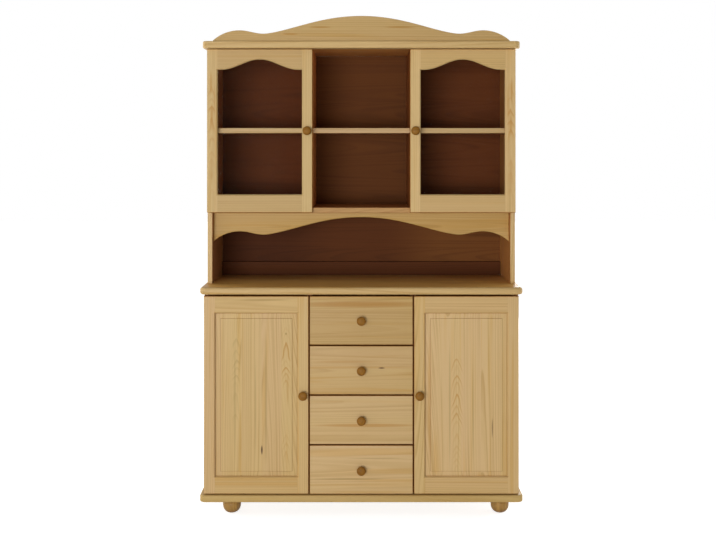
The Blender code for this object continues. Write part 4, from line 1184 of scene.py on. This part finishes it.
class DRESSER_OT_drawers(bpy.types.Operator):
    """Make the drawer fronts and finish the boxes"""

    bl_idname = "dresser.drawers"
    bl_label = "Make the drawers"

    def execute(self, context):
        for number, shade, marks in zip(DRAWERS, DRAWER_SHADES, DRAWER_MARKS):
            front, box, body = f"drawer_front_{number}", f"drawer_box_{number}", f"drawer_{number}"
            # Painted shade darkens the edges beside the gaps.
            finish = wood(
                f"pine drawer front {number}", PINE, "x", "y", seed=83 + 5 * number,
                width=DRAWER_STRIP, figure=0.25, contrast=0.7, shade=shade, tints=gap_shade_rims(front), marks=marks,
            )
            add_piece(f"{front}_eased", soft_front(front), body, finish, (front,))
            dress(box, wood("pine drawer boxes", PINE, "y", "x", seed=89))
            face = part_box(box)[0].y + BOX_END_THICK
            add_metal(f"drawer_screws_{number}", [
                screw_head((sign * BOX_SCREW_PLACE, face, middle(box)[2]), REARWARD, BOX_SCREW_RADIUS)
                for _, sign in SIDES
            ], body)
        return {"FINISHED"}


class DRESSER_OT_turned(bpy.types.Operator):
    """Turn the knobs and feet"""

    bl_idname = "dresser.turned"
    bl_label = "Turn the knobs and feet"

    def execute(self, context):
        knobs = [(f"drawer_knob_{number}", f"drawer_{number}") for number in DRAWERS]
        for case in CASES:
            knobs += [(f"{case}_door_knob_{side}", f"{case}_door_{side}") for side, _ in SIDES]
        for node, body in knobs:
            low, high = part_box(node)
            x, _, z = middle(node)
            radius = (high.x - low.x) / 2
            face = high.y - SPIGOT_LENGTH
            reach = face - low.y
            profile = [(share * radius, out * reach) for share, out in KNOB_PROFILE]
            profile += [(SPIGOT_RADIUS, SPIGOT_START), (SPIGOT_RADIUS, -SPIGOT_LENGTH), (0, -SPIGOT_LENGTH)]
            shape = placed(spun(profile, KNOB_ROUND), (x, face, z), math.pi / 2)
            finish = wood("turned knob", KNOB, "y", "z", seed=97, roughness=0.50, sheen=0.12)
            add_piece(f"{node}_turned", shape, body, finish, (node,))
        # A painted contact shadow darkens the bottom of each foot.
        foot_shadow = tinted(FOOT_SHADOW_TINT, ("z", -FAR, FOOT_SHADOW_HEIGHT, FOOT_SHADOW_SOFTNESS))
        for row in ("front", "rear"):
            for side, _ in SIDES:
                node = f"foot_{row}_{side}"
                x, y, _ = middle(node)
                shape = placed(spun(foot_profile(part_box(node)[1].z), FOOT_ROUND), (x, y, 0))
                finish = wood("turned foot", FOOT, "z", "y", seed=101, roughness=0.45, tints=[foot_shadow])
                add_piece(f"{node}_turned", shape, "case", finish, (node,))
        return {"FINISHED"}


class DRESSER_OT_hinges(bpy.types.Operator):
    """Finish the concealed hinges and make their cups and screws"""

    bl_idname = "dresser.hinges"
    bl_label = "Make the hinges"

    def execute(self, context):
        plate_screws = []
        for case in CASES:
            for side, sign in SIDES:
                door = f"{case}_door_frame_{side}"
                x, back = outer_x(door, sign) - sign * CUP_FROM_EDGE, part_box(door)[1].y
                cups = []
                for level in ("lower", "upper"):
                    node = f"{case}_hinge_{side}_{level}"
                    dress(node, steel_finish())
                    z = middle(node)[2]
                    cups += hinge_cup(x, back, z)
                    plate = (outer_x(node, sign) - sign * WING_THICK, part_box(node)[1].y - WING_FROM_ARM_END)
                    for up in (-1, 1):
                        place = (x, back, z + up * CUP_SCREW_RISE)
                        cups.append(screw_head(place, REARWARD, CUP_SCREW_RADIUS))
                        place = (*plate, z + up * PLATE_SCREW_RISE)
                        plate_screws.append(screw_head(place, (-sign, 0, 0), PLATE_SCREW_RADIUS))
                add_metal(f"hinge_cups_{case}_{side}", cups, f"{case}_door_{side}")
        add_metal("hinge_plate_screws", plate_screws, "case")
        return {"FINISHED"}


def seen_directly(tree):
    """1 for rays that show the background itself, straight, in a gloss or through glass."""
    path = add_node(tree, "ShaderNodeLightPath").outputs
    seen = maths("MAXIMUM", path["Is Camera Ray"], path["Is Glossy Ray"])
    return maths("MAXIMUM", seen, path["Is Transmission Ray"])


class DRESSER_OT_stage(bpy.types.Operator):
    """Make the floor, the even light, the lamps and the camera"""

    bl_idname = "dresser.stage"
    bl_label = "Set up the studio"

    def execute(self, context):
        settings = context.scene.dresser_stage
        self.add_floor(context.scene, settings.floor_size)
        self.add_sky(context.scene, settings.sky_strength)
        for name, turn, height, distance, width, depth, strength in LAMPS:
            self.add_lamp(
                context.scene, name, turn, height, distance, (width, depth), strength * settings.brightness,
            )
        self.add_camera(context.scene, settings.eye_distance, settings.eye_height)
        context.scene.view_settings.view_transform = "Standard"
        return {"FINISHED"}

    def add_floor(self, scene, size):
        """A pale floor that looks white to the camera and keeps the dresser's shadow."""
        shape = bmesh.new()
        bmesh.ops.create_grid(shape, x_segments=1, y_segments=1, size=size / 2)
        mesh = bpy.data.meshes.new("studio_floor")
        shape.to_mesh(mesh)
        shape.free()
        floor = bpy.data.objects.new("studio_floor", mesh)
        scene.collection.objects.link(floor)
        material, tree, shader = new_material("studio floor")
        shader.inputs["Base Color"].default_value = FLOOR_COLOUR
        shader.inputs["Roughness"].default_value = 0.9
        shader.inputs["Specular IOR Level"].default_value = 0.0
        shader.inputs["Emission Color"].default_value = WHITE
        away = add_node(tree, "ShaderNodeVectorMath", {0: object_place(tree)}, operation="LENGTH")
        edge = ramp(away.outputs["Value"], FLOOR_GLOW_FROM, FLOOR_GLOW_TO)
        glow = times(seen_directly(tree), scaled(edge, 1 - FLOOR_GLOW, FLOOR_GLOW))
        tree.links.new(glow, shader.inputs["Emission Strength"])
        mesh.materials.append(material)

    def add_sky(self, scene, strength):
        """Even light from all round, behind which the background itself is white."""
        world = bpy.data.worlds.new("studio")
        world.use_nodes = True
        tree = world.node_tree
        even = tree.nodes["Background"]
        even.inputs["Color"].default_value = WHITE
        even.inputs["Strength"].default_value = strength
        white = add_node(tree, "ShaderNodeBackground", {"Color": WHITE, "Strength": 1.0}).outputs[0]
        mix = add_node(tree, "ShaderNodeMixShader", {0: seen_directly(tree), 1: even.outputs[0], 2: white})
        tree.links.new(mix.outputs[0], tree.nodes["World Output"].inputs["Surface"])
        scene.world = world

    def add_lamp(self, scene, name, turn, height, distance, sizes, strength):
        """A large area lamp aimed at the dresser, as bright on a white card there as its strength."""
        data = bpy.data.lights.new(name, "AREA")
        data.shape = "RECTANGLE"
        data.size, data.size_y = sizes
        light = bpy.data.objects.new(name, data)
        angle = math.radians(turn)
        light.location = (distance * math.sin(angle), -distance * math.cos(angle), height)
        reach = LAMP_TARGET - light.location
        data.energy = strength * math.pi ** 2 * reach.length_squared
        light.rotation_euler = reach.to_track_quat("-Z", "Y").to_euler()
        light.visible_camera = False
        scene.collection.objects.link(light)

    def add_camera(self, scene, distance, height):
        """The camera at the photo's viewing angle."""
        lens = bpy.data.cameras.new("studio_camera")
        lens.lens = LENS
        lens.sensor_fit = "VERTICAL"
        lens.sensor_height = SENSOR_HEIGHT
        lens.sensor_width = SENSOR_HEIGHT * TURNING_WIDTH
        lens.shift_x = SHIFT_X
        lens.shift_y = SHIFT_Y
        camera = bpy.data.objects.new("studio_camera", lens)
        camera.location = (0, -distance, height)
        camera.rotation_euler = (math.pi / 2, 0, 0)
        scene.collection.objects.link(camera)
        scene.camera = camera


class DRESSER_PT_panel(bpy.types.Panel):
    """Buttons for the pieces of the dresser and for the studio"""

    bl_label = "Pine dresser"
    bl_idname = "DRESSER_PT_panel"
    bl_space_type = "VIEW_3D"
    bl_region_type = "UI"
    bl_category = "Dresser"

    def draw(self, context):
        for operator in OPERATORS:
            self.layout.operator(operator.bl_idname)
        for settings in (context.scene.dresser_finish, context.scene.dresser_stage):
            for name in settings.bl_rna.properties.keys():
                if name not in ("name", "rna_type"):
                    self.layout.prop(settings, name)


OPERATORS = (
    DRESSER_OT_stage,
    DRESSER_OT_case,
    DRESSER_OT_slabs,
    DRESSER_OT_doors,
    DRESSER_OT_drawers,
    DRESSER_OT_turned,
    DRESSER_OT_hinges,
)
CLASSES = (DresserFinish, DresserStage, *OPERATORS, DRESSER_PT_panel)


def register():
    """Make the settings, the buttons and the panel known."""
    for entry in CLASSES:
        bpy.utils.register_class(entry)
    bpy.types.Scene.dresser_finish = bpy.props.PointerProperty(type=DresserFinish)
    bpy.types.Scene.dresser_stage = bpy.props.PointerProperty(type=DresserStage)


def unregister():
    """Take the settings, the buttons and the panel away again."""
    del bpy.types.Scene.dresser_stage
    del bpy.types.Scene.dresser_finish
    for entry in reversed(CLASSES):
        bpy.utils.unregister_class(entry)


def main():
    """Register, and run every button in order."""
    register()
    bpy.ops.dresser.stage()
    bpy.ops.dresser.case()
    bpy.ops.dresser.slabs()
    bpy.ops.dresser.doors()
    bpy.ops.dresser.drawers()
    bpy.ops.dresser.turned()
    bpy.ops.dresser.hinges()


if __name__ == "__main__":
    main()
